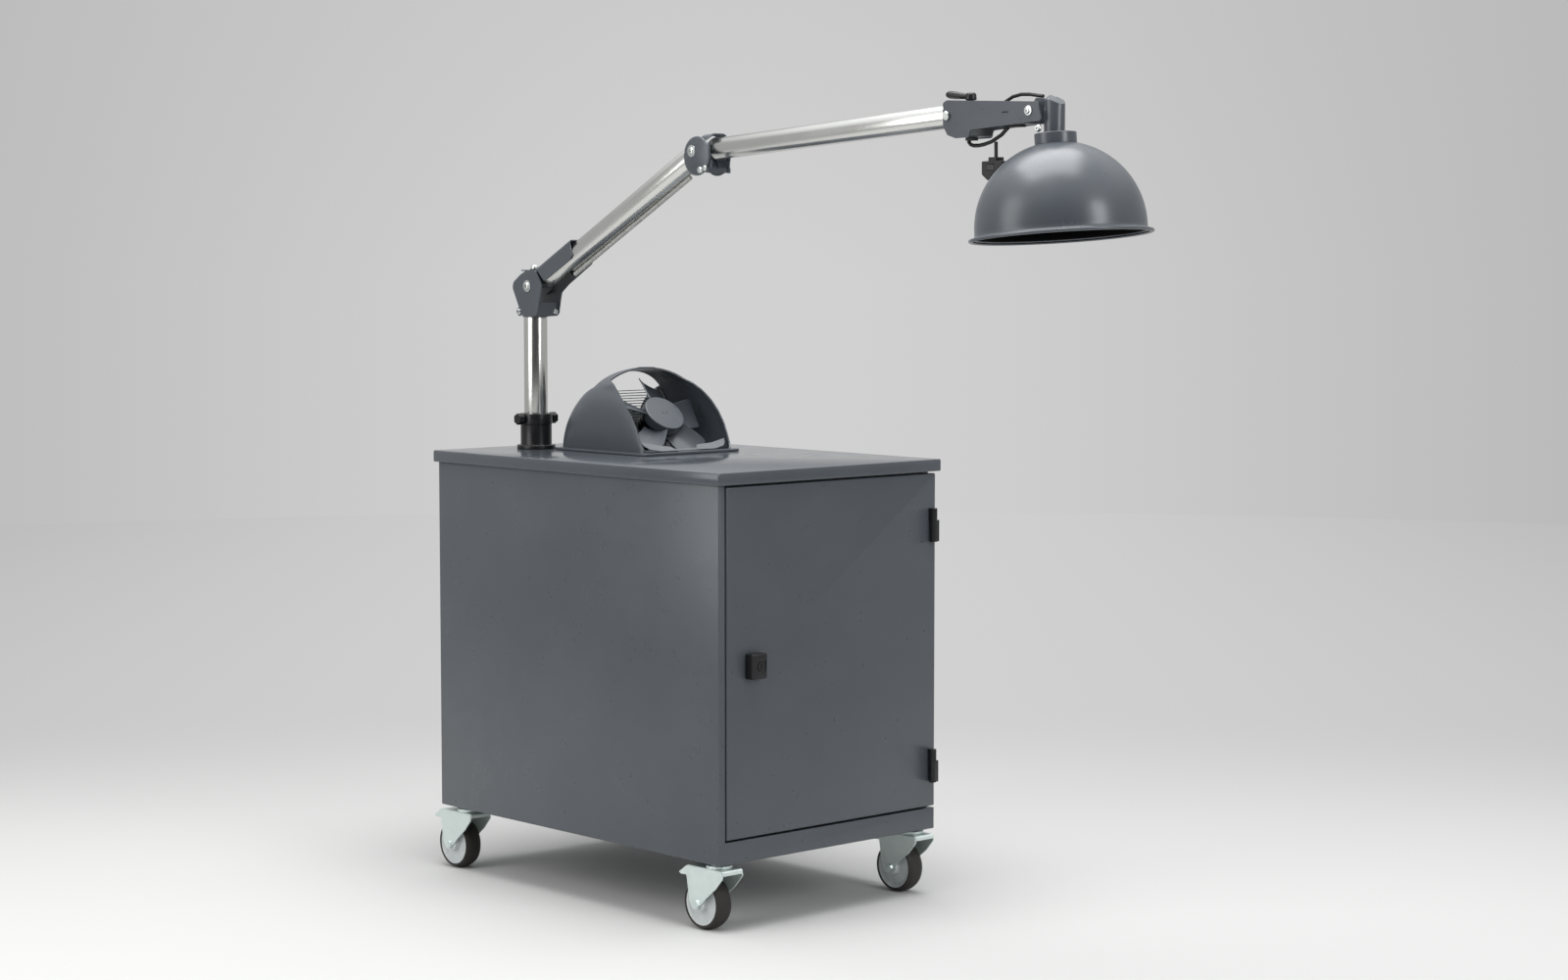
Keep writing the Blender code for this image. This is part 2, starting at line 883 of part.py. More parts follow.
def make_cowl():
    level_shares = (0, 0.28, 0.50, 0.67, 0.80, 0.90, 0.965)
    shape = bmesh.new()
    rings = []
    for share in level_shares:
        height = cowl_rise * share
        rings.append([shape.verts.new((x, y, height)) for x, y in cowl_ring(cowl_half(height), cowl_points)])
    for lower, upper in zip(rings, rings[1:]):
        for i in range(cowl_points):
            after = (i + 1) % cowl_points
            shape.faces.new((lower[i], lower[after], upper[after], upper[i]))
    crown = shape.verts.new((0, 0, cowl_rise))
    for i in range(cowl_points):
        shape.faces.new((rings[-1][i], rings[-1][(i + 1) % cowl_points], crown))
    for face in shape.faces:
        face.smooth = True
    place = (cowl_x, cowl_y, cowl_bottom)
    cowl = put(mesh_piece("fan_cowl", shape), extractor, powder_coat, place)
    shell = cowl.modifiers.new("wall", "SOLIDIFY")
    shell.thickness = cowl_wall
    shell.offset = -1

    half = cowl_flange / 2
    inner = cowl_base / 2 - cowl_wall * 0.8
    flange = box("cowl_flange", (-half, -half, 0), (half, half, cowl_flange_thickness))
    bevel(flange, cowl_flange_thickness / 3)
    core = as_mesh(plate("cowl_flange_core", cowl_ring(inner, cowl_points), cowl_flange_thickness + overrun))
    put(flange, extractor, None, place)
    cut(flange, put(core, extractor, None, place))

    mouth = box("cowl_mouth", (-cowl_base, -cowl_base, 0), (cowl_base, 0, cowl_base * 2))
    put(mouth, extractor, None, (cowl_x, cowl_front, cowl_flange_top), (-cowl_lean, 0, 0))
    window = box("cowl_window", (-cowl_base, 0, 0), (cowl_base, cowl_base, cowl_base))
    window_place = (cowl_x, cowl_y + window_depth, cowl_bottom + window_bottom)
    put(window, extractor, None, window_place, (window_lean, 0, 0))
    join(cowl, flange)
    cut(cowl, mouth, window)


# Sill: stands in the mouth's plane across the foot of the opening
fan_plane = add_empty("fan_plane", extractor, (cowl_x, cowl_front, cowl_flange_top), (-cowl_lean, 0, 0))


def make_sill():
    outline_shares = (
        (-0.93, 0.60),
        (-0.85, 0.25),
        (-0.62, 0.0),
        (0.62, 0.0),
        (0.85, 0.25),
        (0.93, 0.60),
        (0.97, 1.0),
        (0.62, 0.62),
        (0.26, 0.50),
        (0.20, 0.16),
        (-0.28, 0.16),
        (-0.34, 0.38),
        (-0.60, 0.60),
        (-0.97, 1.0),
    )
    outline = scaled(outline_shares, sill_half_width, sill_height)
    sill = sheet_plate("cowl_sill", outline, sill_sheet)
    foot = sill_sheet * 1.5 + gap * 5
    put(sill, fan_plane, powder_coat, (0, sill_sheet + gap * 2, foot), (math.pi / 2, 0, 0))


make_cowl()
make_sill()


# Fan: hub cup with five twisted blades on the motor's shaft; the frame's +Y runs along the axis to the back
fan_spin = add_empty("fan_spin", fan_plane, (0, fan_sink, fan_slope_place))


def make_blade(name):
    """A blade along +X, lofted through thin bowed sections."""
    radius_shares = (0.0, 0.5, 1.0)
    chord_places = (-0.5, 0.0, 0.5)
    root = hub_radius - hub_wall
    shape = bmesh.new()
    rings = []
    for share in radius_shares:
        radius = root + (blade_tip_radius - root) * share
        chord = blade_root_chord + (blade_tip_chord - blade_root_chord) * share
        pitch = blade_root_pitch + (blade_tip_pitch - blade_root_pitch) * share
        front = []
        rear = []
        for along in chord_places:
            bow = blade_camber_share * chord * (1 - (2 * along) ** 2)
            for side, row in ((-0.5, front), (0.5, rear)):
                across = bow + side * blade_thickness
                z = along * chord * math.cos(pitch) - across * math.sin(pitch)
                y = along * chord * math.sin(pitch) + across * math.cos(pitch)
                reach = math.sqrt(max(radius**2 - z**2, root**2 / 4))
                row.append(shape.verts.new((reach, blade_plane - fan_sink + y, z)))
        rings.append(front + rear[::-1])
    for lower, upper in zip(rings, rings[1:]):
        for i in range(len(lower)):
            after = (i + 1) % len(lower)
            shape.faces.new((lower[i], lower[after], upper[after], upper[i]))
    shape.faces.new(rings[0][::-1])
    shape.faces.new(rings[-1])
    bmesh.ops.recalc_face_normals(shape, faces=shape.faces)
    return mesh_piece(name, shape)


def make_fan():
    rim = hub_rim_radius
    cup = [
        (0, 0),
        (hub_radius - rim, 0),
        (hub_radius, -rim),
        (hub_radius, -hub_depth),
        (hub_radius - hub_wall, -hub_depth),
        (hub_radius - hub_wall, -hub_wall),
        (0, -hub_wall),
    ]
    fan = put(turned("fan_impeller", cup), fan_spin, powder_coat, origin, (math.pi / 2, 0, 0))
    blade = make_blade("fan_blade_1")
    first_blade = math.radians(16)
    for number in range(blade_count):
        copy = blade if number == 0 else bpy.data.objects.new("fan_blade_" + str(number + 1), blade.data)
        put(copy, fan_spin, None, origin, (0, first_blade + 2 * math.pi * number / blade_count, 0))
        join(fan, copy)

    start = hub_depth + running_gap * 2
    body = [
        (0, -hub_wall - gap),
        (motor_shaft_radius, -hub_wall - gap),
        (motor_shaft_radius, -start),
        (motor_radius * 0.6, -start),
        (motor_radius - motor_fin, -start - motor_fin),
    ]
    fin_count = 3
    pitch = (motor_length - 2 * motor_fin) / fin_count
    for fin in range(fin_count):
        depth = start + motor_fin + pitch * fin
        body += [
            (motor_radius - motor_fin, -depth - pitch * 0.4),
            (motor_radius, -depth - pitch * 0.4),
            (motor_radius, -depth - pitch),
            (motor_radius - motor_fin, -depth - pitch),
        ]
    body.append((0, -start - motor_length + motor_fin))
    place = (0, fan_sink, fan_slope_place)
    put(turned("fan_motor", body, 16), fan_plane, black_metal, place, (math.pi / 2, 0, 0))


# Motor bracket: a bar across the lid's fan hole with a leaning plate behind the motor
def make_bracket():
    motor_back = fan_sink + hub_depth + running_gap * 2 + motor_length - motor_fin
    plate_front = motor_back + gap
    foot_level = cowl_bottom - cowl_flange_top
    slope_at_foot = (foot_level + plate_front * math.sin(cowl_lean)) / math.cos(cowl_lean)
    riser_top = fan_slope_place + motor_radius * bracket_rise_share
    riser = box(
        "fan_bracket",
        (-bracket_width / 2, plate_front, slope_at_foot),
        (bracket_width / 2, plate_front + bracket_sheet, riser_top),
    )
    put(riser, fan_plane, galvanised)
    foot_y = cowl_front + plate_front * math.cos(cowl_lean) + slope_at_foot * math.sin(cowl_lean)
    foot = box(
        "fan_bracket_foot",
        (cowl_x - bracket_foot_width / 2, foot_y, cowl_bottom),
        (cowl_x + bracket_foot_width / 2, foot_y + bracket_foot_depth, cowl_bottom + bracket_sheet),
    )
    trim = box(
        "fan_bracket_trim",
        (cowl_x - cowl_base, cowl_front, cowl_bottom - overrun * 3),
        (cowl_x + cowl_base, cowl_y + cowl_base, cowl_bottom),
    )
    join(riser, put(foot, extractor))
    cut(riser, put(trim, extractor))


# Wire guard: rods across the rear window on two uprights that follow the cowl's walls
def make_guard():
    y = window_depth - guard_stand
    room = cowl_wall + guard_upright_radius + gap

    def half_at(height):
        half = cowl_half(height + room * 0.4) * guard_fit_share
        inside = max(half**cowl_corner_power - y**cowl_corner_power, 0.0)
        return inside ** (1 / cowl_corner_power) - room

    levels = [window_bottom - guard_pitch + guard_pitch * i for i in range(guard_wire_count)]
    place = (cowl_x, cowl_y + y, cowl_bottom)
    route = [(half_at(height), 0, height) for height in levels[::3] + levels[-1:]]
    right = put(as_mesh(wire("wire_guard", route, guard_upright_radius, 1)), extractor, stainless, place)
    left = as_mesh(wire("guard_left", [(-x, depth, z) for x, depth, z in route], guard_upright_radius, 1))
    join(right, put(left, extractor, None, place))
    for number, height in enumerate(levels):
        half = half_at(height)
        rung = rod("guard_rung_" + str(number), guard_wire_radius, (-half, 0, height), (half, 0, height), 5)
        join(right, put(rung, extractor, None, place))


make_fan()
make_bracket()
make_guard()


# Mast collar: a flanged socket with a clamp ring; two knobs lock the mast's swivel
def make_collar():
    bore = mast_radius + running_gap
    top = collar_height + ring_height
    wall = [
        (bore, top),
        (ring_radius, top),
        (ring_radius, collar_height),
        (collar_radius, collar_height),
        (collar_radius, collar_flange_height),
        (collar_flange_radius, collar_flange_height),
        (collar_flange_radius, 0),
        (collar_bore_radius, 0),
        (collar_bore_radius, collar_shoulder),
        (bore, collar_shoulder),
    ]
    place = (mast_x, mast_y, lid_top + gap)
    collar = put(turned("mast_collar", wall, closed=True), extractor, black_metal, place)
    middle = collar_height + ring_height / 2
    reach = ring_radius + overrun
    tap = rod("collar_tap", knob_screw_radius + gap, (-reach, 0, middle), (reach, 0, middle), 10)
    cut(collar, put(tap, extractor, None, place))


def make_knob(label, side):
    """A lobed knob on its screw, turned on the X axis."""
    height = lid_top + gap + collar_height + ring_height / 2
    turn = add_empty(label + "_knob_turn", extractor, (mast_x, mast_y, height))
    outline = []
    steps = knob_lobes * 4
    for step in range(steps):
        angle = 2 * math.pi * step / steps
        radius = knob_radius * (1 - 0.07 * (1 - math.cos(knob_lobes * angle)))
        outline.append((radius * math.cos(angle), radius * math.sin(angle)))
    head = sheet_plate(label + "_clamp_knob", outline, knob_length)
    middle = side * (knob_stand + knob_length / 2)
    put(head, turn, black_plastic, (middle, 0, 0), along_x)
    start = side * (mast_radius + running_gap)
    screw = rod(label + "_knob_screw", knob_screw_radius, (start, 0, 0), (middle, 0, 0), 12)
    join(head, put(screw, turn))


make_collar()
make_knob("left", -1)
make_knob("right", 1)


# Mast: tube in the collar with the yoke of elbow 1 on top
mast_swivel = add_empty("mast_swivel", extractor, (mast_x, mast_y, lid_top))


def make_mast():
    bottom = gap * 2 + collar_shoulder
    put(tube("mast_tube", mast_radius, mast_radius - tube_wall, bottom, mast_top), mast_swivel, stainless)

    yoke_shares = (
        (-0.507, -0.039),
        (-0.481, 0.079),
        (-0.241, 0.238),
        (-0.002, 0.343),
        (0.267, 0.336),
        (0.376, 0.190),
        (0.492, 0.025),
        (0.410, -0.263),
        (0.331, -0.625),
        (-0.129, -0.653),
        (-0.296, -0.437),
    )
    outline = rounded(scaled(yoke_shares, yoke_length, yoke_height), yoke_sheet * 3, 1)
    pivot = (0, -elbow_1_reach, elbow_1_height)
    cheek_x = yoke_inner + yoke_sheet / 2
    left = sheet_plate("mast_yoke", outline, yoke_sheet)
    put(left, mast_swivel, powder_coat, (-cheek_x, *pivot[1:]), side_on)
    right = sheet_plate("yoke_right", outline, yoke_sheet)
    put(right, mast_swivel, None, (cheek_x, *pivot[1:]), side_on)
    foot = elbow_1_height + yoke_height * yoke_shares[9][1]
    lap = yoke_inner + seam
    sleeve = tube("yoke_sleeve", lap, mast_radius + gap, foot + gap, foot + yoke_sleeve_height)
    web_front = -elbow_1_reach - yoke_length * yoke_shares[8][0]
    web = box(
        "yoke_web",
        (-lap, web_front - yoke_sheet + yoke_web_inset, foot + yoke_sheet),
        (lap, web_front + yoke_web_inset, foot + yoke_web_height),
    )
    bridge_top = elbow_1_height + yoke_height * yoke_shares[3][1]
    bridge = box(
        "yoke_bridge",
        (-lap, -elbow_1_reach - yoke_bridge_length / 8, bridge_top - yoke_sheet),
        (lap, -elbow_1_reach + yoke_bridge_length, bridge_top),
    )
    screw_places = ((-1, -0.273, -0.538), (1, 0.253, -0.539))
    screws = []
    for side, along, up in screw_places:
        y = -elbow_1_reach - along * yoke_length
        z = elbow_1_height + up * yoke_height
        outer = yoke_inner + yoke_sheet + small_screw_height
        name = "yoke_screw_" + ("right" if side > 0 else "left")
        screws.append(rod(name, small_screw_radius, (side * yoke_inner, y, z), (side * outer, y, z), 8))
    nut = turned(
        "yoke_dome_nut",
        [
            (0, dome_nut_height),
            (dome_nut_radius * 0.7, dome_nut_height * 0.75),
            (dome_nut_radius, 0),
            (dome_nut_radius, -yoke_sheet / 2),
            (0, -yoke_sheet / 2),
        ],
        12,
    )
    put(nut, mast_swivel, None, (0, -elbow_1_reach + yoke_bridge_length / 2, bridge_top))
    join(left, *[put(tool, mast_swivel) for tool in (sleeve, web, bridge, *screws)], right, nut)
    reach = yoke_inner + yoke_sheet + overrun
    hole = rod("yoke_hole", bolt_radius + gap, (-reach, *pivot[1:]), (reach, *pivot[1:]), bolt_steps)
    cut(left, put(hole, mast_swivel))

    half = yoke_inner + yoke_sheet + gap
    put(bolt("elbow_1_bolt", half, bolt_head_radius, bolt_head_height), mast_swivel, zinc, pivot, along_x)


def bolt(name, half, head_radius, head_height):
    """A bolt along Z with a rounded head at each end, half its grip given."""
    edge = head_height / 3
    profile = [
        (0, half + head_height),
        (head_radius - edge, half + head_height),
        (head_radius, half + head_height - edge),
        (head_radius, half),
        (bolt_radius, half),
        (bolt_radius, -half),
        (head_radius, -half),
        (head_radius, -half - head_height + edge),
        (head_radius - edge, -half - head_height),
        (0, -half - head_height),
    ]
    return turned(name, profile, bolt_steps)


make_mast()


# Lower arm: the saddle hangs on elbow 1 and grips the lower tube; reach runs along -Y
elbow_1 = add_empty("elbow_1", mast_swivel, (0, -elbow_1_reach, elbow_1_height), (-lower_arm_angle, 0, 0))
lower_tilt = math.atan2(lower_tube_drop + lower_tube_lift, lower_arm_length)


def make_lower_arm():
    start = (0, -lower_tube_start, -lower_tube_drop)
    along = (math.pi / 2 - lower_tilt, 0, 0)
    length = lower_arm_length - lower_tube_start - lower_tube_stop
    pipe = tube("lower_tube", lower_tube_radius, lower_tube_radius - tube_wall, 0, length)
    put(pipe, elbow_1, stainless, start, along)

    inner = lower_tube_radius + gap
    outer = inner + saddle_sheet
    section = folded(outer, saddle_top, saddle_corner, saddle_sheet, -inner * 2, 3)
    saddle = sheet_plate("tube_saddle", section, saddle_length + overrun)
    middle = (saddle_length - saddle_pivot_radius * 2) / 2
    lift = (middle - lower_tube_start) * math.tan(lower_tilt) - lower_tube_drop
    put(saddle, elbow_1, powder_coat, (0, -middle, lift), along)
    side_shares = (
        (0.148, -0.170),
        (0.852, -0.139),
        (0.884, -0.108),
        (0.896, -0.049),
        (0.925, 0.110),
        (0.925, 0.175),
        (0.190, 0.175),
    )
    outline = scaled(side_shares, saddle_length, saddle_length)
    side = sheet_plate("saddle_side", outline, outer * 2 + overrun)
    boolean(saddle, "INTERSECT", [put(side, elbow_1, None, origin, side_on)])
    near_shares = (
        (0.110, 0.082),
        (0.233, 0.082),
        (0.294, -0.079),
        (0.841, -0.075),
        (0.910, -0.043),
        (1.080, -0.043),
        (1.080, -0.256),
        (0.110, -0.256),
    )
    outline = scaled(near_shares, saddle_length, saddle_length)
    near_side = sheet_plate("saddle_near_side", outline, overrun)
    near_x = seam - inner - overrun / 2
    cut(saddle, put(near_side, elbow_1, None, (near_x, 0, 0), side_on))

    lap = saddle_sheet / 2
    rest = arch(outer - lap, saddle_top - lap, saddle_corner - lap, -saddle_wall_drop, 3)
    wall_lift = (saddle_wall_reach - lower_tube_start) * math.tan(lower_tilt) - lower_tube_drop
    wall = sheet_plate("saddle_wall", rest, saddle_wall_sheet)
    join(saddle, put(wall, elbow_1, None, (0, -saddle_wall_reach, wall_lift), along))
    tongue_shares = (
        (-0.085, -0.060),
        (-0.055, -0.085),
        (0.205, -0.079),
        (0.205, 0.040),
        (0.060, 0.085),
        (-0.050, 0.085),
        (-0.085, 0.050),
    )
    outline = scaled(tongue_shares, saddle_length, saddle_length)
    tongue_x = saddle_tongue_side - saddle_tongue / 2
    for side in (-1, 1):
        label = "_left" if side < 0 else "_right"
        tongue = sheet_plate("saddle_tongue" + label, outline, saddle_tongue)
        join(saddle, put(tongue, elbow_1, None, (side * tongue_x, 0, 0), side_on))
        back = (side * tongue_x, 0, 0)
        face = (side * (yoke_inner - gap), 0, 0)
        washer = rod("saddle_washer" + label, saddle_washer_radius, back, face, bolt_steps)
        join(saddle, put(washer, elbow_1))
    reach = outer + overrun
    hole = rod("saddle_hole", bolt_radius + gap, (-reach, 0, 0), (reach, 0, 0), bolt_steps)
    cut(saddle, put(hole, elbow_1))

    below = -lower_tube_drop - lower_tube_radius - conduit_radius - gap
    first = (0, -conduit_start, below + (conduit_start - lower_tube_start) * math.tan(lower_tilt))
    last = (0, conduit_stop - lower_arm_length, -conduit_end_drop)
    put(rod("cable_conduit", conduit_radius, first, last, 12), elbow_1, black_plastic)


# Elbow 2 housing: two egg-shaped plates on a sleeve round the lower tube, a crowned disc on the left one
def make_housing():
    housing_shares = (
        (-0.442, -0.069),
        (-0.349, 0.194),
        (-0.140, 0.347),
        (0.116, 0.333),
        (0.349, 0.167),
        (0.512, -0.111),
        (0.535, -0.333),
        (0.395, -0.556),
        (0.233, -0.653),
        (0.058, -0.625),
        (-0.209, -0.500),
        (-0.384, -0.306),
    )
    outline = rounded(scaled(housing_shares, housing_length, housing_height), housing_height / 8, 1)
    inner = lower_tube_radius + gap * 2
    plate_x = inner + housing_sheet / 2
    place = Vector((0, -lower_arm_length, 0))
    upright = add_empty("elbow_2_upright", elbow_1, place, (lower_arm_angle, 0, 0))
    near = sheet_plate("elbow_2_housing", outline, housing_sheet)
    put(near, upright, powder_coat, (-plate_x, 0, 0), side_on)
    far = sheet_plate("housing_far", outline, housing_sheet)
    put(far, upright, None, (plate_x, 0, 0), side_on)
    sleeve_end = lower_arm_length - lower_tube_start - lower_tube_stop
    sleeve_inner = lower_tube_radius + gap
    sleeve = tube(
        "housing_sleeve",
        sleeve_inner + housing_sleeve_wall,
        sleeve_inner,
        sleeve_end - housing_sleeve,
        sleeve_end + gap,
    )
    put(sleeve, elbow_1, None, (0, -lower_tube_start, -lower_tube_drop), (math.pi / 2 - lower_tilt, 0, 0))
    lug = sheet_plate("housing_lug", lug_outline(), (inner + housing_sheet) * 2)
    put(lug, elbow_1, None, place, side_on)
    lug_core = tube_core("housing_lug_core", sleeve_inner, -overrun, lower_arm_length)
    put(lug_core, elbow_1, None, (0, -lower_tube_start, -lower_tube_drop), (math.pi / 2 - lower_tilt, 0, 0))
    outer_face = inner + housing_sheet
    crown = turned(
        "housing_crown",
        [
            (0, crown_height),
            (crown_radius * 0.45, crown_height * 0.85),
            (crown_radius * 0.8, crown_height * 0.45),
            (crown_radius, 0),
            (crown_radius, -housing_sheet / 2),
            (0, -housing_sheet / 2),
        ],
        20,
    )
    put(crown, upright, None, (-outer_face, 0, 0), (0, -math.pi / 2, 0))
    ear_place = (-outer_face, -housing_length * 0.245, -housing_height * 0.528)
    ear = rod("housing_ear_bolt", ear_bolt_radius, (0, 0, -housing_sheet / 2), (0, 0, ear_bolt_height), 6)
    put(ear, upright, None, ear_place, (0, -math.pi / 2, 0))
    hollow = box(
        "housing_hollow",
        (-inner, -lower_arm_length - housing_length, -housing_height),
        (inner, -lower_arm_length + lower_tube_stop - gap, housing_height),
    )
    put(hollow, elbow_1)
    cut(lug, hollow, lug_core)
    join(near, far, sleeve, lug, crown, ear)
    reach = outer_face + crown_height + overrun
    hole = rod("housing_hole", bolt_radius + gap, (-reach, *place[1:]), (reach, *place[1:]), bolt_steps)
    cut(near, put(hole, elbow_1))

    half = outer_face + crown_height + gap
    pin = bolt("elbow_2_bolt", half, elbow_2_washer_radius, ear_bolt_height / 2)
    put(pin, elbow_1, zinc, place, along_x)


def lug_outline():
    """The cheeks that tie the housing's plates to its sleeve, beside the lower tube's end."""
    back = -lower_tube_stop - housing_sleeve * 0.6
    return [
        (back, -lower_tube_radius * 0.55),
        (-lower_tube_stop * 0.4, -lower_tube_radius * 0.7),
        (-lower_tube_stop * 0.4, lower_tube_radius * 0.7),
        (back, lower_tube_radius * 0.75),
    ]


def tube_core(name, radius, bottom, top):
    return rod(name, radius, (0, 0, bottom), (0, 0, top), tube_steps)


make_lower_arm()
make_housing()


# Upper arm: a folded collar turns between the housing's plates and grips the upper tube
elbow_2_turn = lower_arm_angle - upper_arm_angle
elbow_2 = add_empty("elbow_2", elbow_1, (0, -lower_arm_length, 0), (elbow_2_turn, 0, 0))


def make_upper_arm():
    length = upper_arm_length - upper_tube_start + upper_tube_stop
    pipe = tube("upper_tube", upper_tube_radius, upper_tube_radius - tube_wall, 0, length)
    put(pipe, elbow_2, stainless, (0, -upper_tube_start, upper_tube_rise), (math.pi / 2, 0, 0))
    reach = upper_tube_radius + overrun
    pin_start = (-reach, -upper_arm_length, 0)
    pin_line = rod("tube_pin_hole", bolt_radius + gap, pin_start, (reach, *pin_start[1:]), bolt_steps)
    cut(pipe, put(pin_line, elbow_2))

    inner = upper_tube_radius + gap
    outer = inner + upper_collar_sheet
    foot = -upper_collar_height
    section = folded(outer, upper_collar_top, upper_collar_corner, upper_collar_sheet, foot)
    collar = sheet_plate("upper_collar", section, upper_collar_length * 2)
    put(collar, elbow_2, powder_coat, origin, (math.pi / 2, 0, 0))
    side_shares = (
        (-0.135, 0.05),
        (-0.095, -0.17),
        (0.06, -0.23),
        (0.17, -0.545),
        (0.73, -0.590),
        (0.83, -0.270),
        (0.60, -0.290),
        (0.44, -0.160),
        (0.385, 0.060),
        (0.42, 0.230),
        (0.76, 0.310),
        (0.76, 0.420),
        (0.165, 0.420),
        (0.11, 0.200),
        (-0.02, 0.235),
        (-0.105, 0.16),
    )
    outline = scaled(side_shares, upper_collar_length, upper_collar_height)
    side = sheet_plate("collar_side", outline, outer * 2 + overrun)
    put(side, elbow_2, None, origin, side_on)
    boolean(collar, "INTERSECT", [side])
    reach = outer + overrun
    hole = rod("collar_hole", bolt_radius + gap, (-reach, 0, 0), (reach, 0, 0), bolt_steps)
    clamp_y = -upper_collar_length * 0.654
    clamp_z = -upper_collar_height * 0.515
    clamp = rod("collar_clamp_bolt", bolt_radius, (-outer, clamp_y, clamp_z), (outer, clamp_y, clamp_z), 8)
    for sign in (-1, 1):
        low = (sign * outer - sign * upper_collar_sheet / 2, clamp_y, clamp_z)
        high = (sign * outer + sign * ear_bolt_height, clamp_y, clamp_z)
        head = rod("collar_clamp_head" + ("_left" if sign < 0 else "_right"), ear_bolt_radius, low, high, 6)
        join(clamp, put(head, elbow_2))
    cut(collar, put(hole, elbow_2))
    join(collar, put(clamp, elbow_2))


make_upper_arm()


# Wrist: a channel hangs on the upper tube's end and carries the hood, the lever, the loop and the switch
wrist_turn = upper_arm_angle - wrist_angle
wrist = add_empty("wrist", elbow_2, (0, -upper_arm_length, 0), (wrist_turn, 0, 0))
hood_tilt = add_empty("hood_tilt", wrist, (0, -wrist_length, 0), (wrist_angle, 0, 0))


def channel_top(reach):
    """The height of the channel's sloping top edge at a reach from the wrist pin."""
    return channel_height * 0.450 - (channel_height * 0.210) * reach / (channel_length * 0.915)


def make_channel():
    channel_shares = (
        (-0.042, -0.279),
        (-0.042, 0.384),
        (0.000, 0.450),
        (0.915, 0.240),
        (0.958, -0.294),
        (0.671, -0.354),
        (0.238, -0.435),
        (0.226, -0.648),
        (0.085, -0.655),
        (0.003, -0.550),
    )
    outline = rounded(scaled(channel_shares, channel_length, channel_height), channel_sheet * 2, 2)
    cheek_x = channel_inner + channel_sheet / 2
    lap = channel_inner + seam
    left = sheet_plate("wrist_channel", outline, channel_sheet)
    put(left, wrist, powder_coat, (-cheek_x, 0, 0), side_on)
    right = put(sheet_plate("channel_right", outline, channel_sheet), wrist, None, (cheek_x, 0, 0), side_on)
    top_web_end = top_web_start + top_web_length
    web_outline = [
        (top_web_start, channel_top(top_web_start) - channel_sheet),
        (top_web_end, channel_top(top_web_end) - channel_sheet),
        (top_web_end, channel_top(top_web_end)),
        (top_web_start, channel_top(top_web_start)),
    ]
    top_web = sheet_plate("channel_top_web", web_outline, lap * 2)
    put(top_web, wrist, None, origin, side_on)
    belly = -channel_height * 0.62
    belly_web = box(
        "channel_belly_web",
        (-lap, -belly_web_start - belly_web_length + channel_sheet, belly),
        (lap, -belly_web_start, belly + channel_sheet),
    )
    sole = -channel_height * 0.340
    front_web = box(
        "channel_front_web",
        (-lap, -front_web_start - front_web_length, sole),
        (lap, -front_web_start, sole + channel_sheet),
    )
    join(left, top_web, put(belly_web, wrist), put(front_web, wrist), right)
    reach = channel_inner + channel_sheet + overrun
    tools = []
    for name, y in (("channel_pin_hole", 0), ("channel_tilt_hole", -wrist_length)):
        tools.append(rod(name, bolt_radius + gap, (-reach, y, 0), (reach, y, 0), bolt_steps))
    lever_y = -lever_place
    lever_low, lever_high = (0, lever_y, 0), (0, lever_y, channel_height)
    tools.append(rod("channel_lever_hole", bolt_radius + gap, lever_low, lever_high, bolt_steps))
    slot_place = 0.140
    slot_half = channel_sheet * 3
    tools.append(
        box(
            "channel_slot",
            (-channel_inner - overrun, -slot_place - slot_half, -channel_sheet / 2),
            (-channel_inner + overrun / 2, -slot_place + slot_half, channel_sheet / 2),
        )
    )
    cut(left, *[put(tool, wrist) for tool in tools])

    half = channel_inner + channel_sheet + gap
    edge = bolt_head_height / 3
    inner = upper_tube_radius + gap * 2
    pin_profile = []
    for sign in (1, -1):
        rows = [
            (0, half + bolt_head_height),
            (bolt_head_radius * 0.8 - edge, half + bolt_head_height),
            (bolt_head_radius * 0.8, half + bolt_head_height - edge),
            (bolt_head_radius * 0.8, half),
            (bolt_radius, half),
            (bolt_radius, channel_inner - gap),
            (pin_collar_radius, channel_inner - gap),
            (pin_collar_radius, inner),
            (bolt_radius, inner),
        ]
        rows = [(radius, sign * level) for radius, level in rows]
        pin_profile += rows if sign > 0 else rows[::-1]
    put(turned("wrist_pin", pin_profile, bolt_steps), wrist, zinc, origin, along_x)
    tilt_half = channel_inner + channel_sheet + gap
    tilt = bolt("tilt_bolt", tilt_half, bolt_head_radius * 0.8, bolt_head_height)
    put(tilt, wrist, zinc, (0, -wrist_length, 0), along_x)


# Clamp lever on the channel's top web, turned on a vertical axis
def make_lever():
    level = channel_top(lever_place - lever_hub_radius) + gap
    turn = add_empty("lever_turn", wrist, (0, -lever_place, level))
    hub = turned(
        "clamp_lever",
        [
            (0, lever_hub_height),
            (lever_hub_radius * 0.75, lever_hub_height),
            (lever_hub_radius * 0.9, lever_hub_height * 0.8),
            (lever_hub_radius, 0),
            (bolt_radius, 0),
            (bolt_radius, -channel_sheet - gap * 2),
            (0, -channel_sheet - gap * 2),
        ],
        16,
    )
    put(hub, turn, black_plastic)
    middle = lever_hub_height * 0.62
    arm = rod(
        "lever_arm",
        lever_radius * 0.8,
        (0, 0, middle),
        (0, lever_reach, middle + lever_rise),
        12,
        lever_radius,
    )
    tip = rod(
        "lever_tip",
        lever_radius,
        (0, lever_reach - seam, middle + lever_rise),
        (0, lever_reach + lever_radius * 0.8, middle + lever_rise * 1.1),
        12,
        lever_radius * 0.55,
    )
    join(hub, put(arm, turn), put(tip, turn))


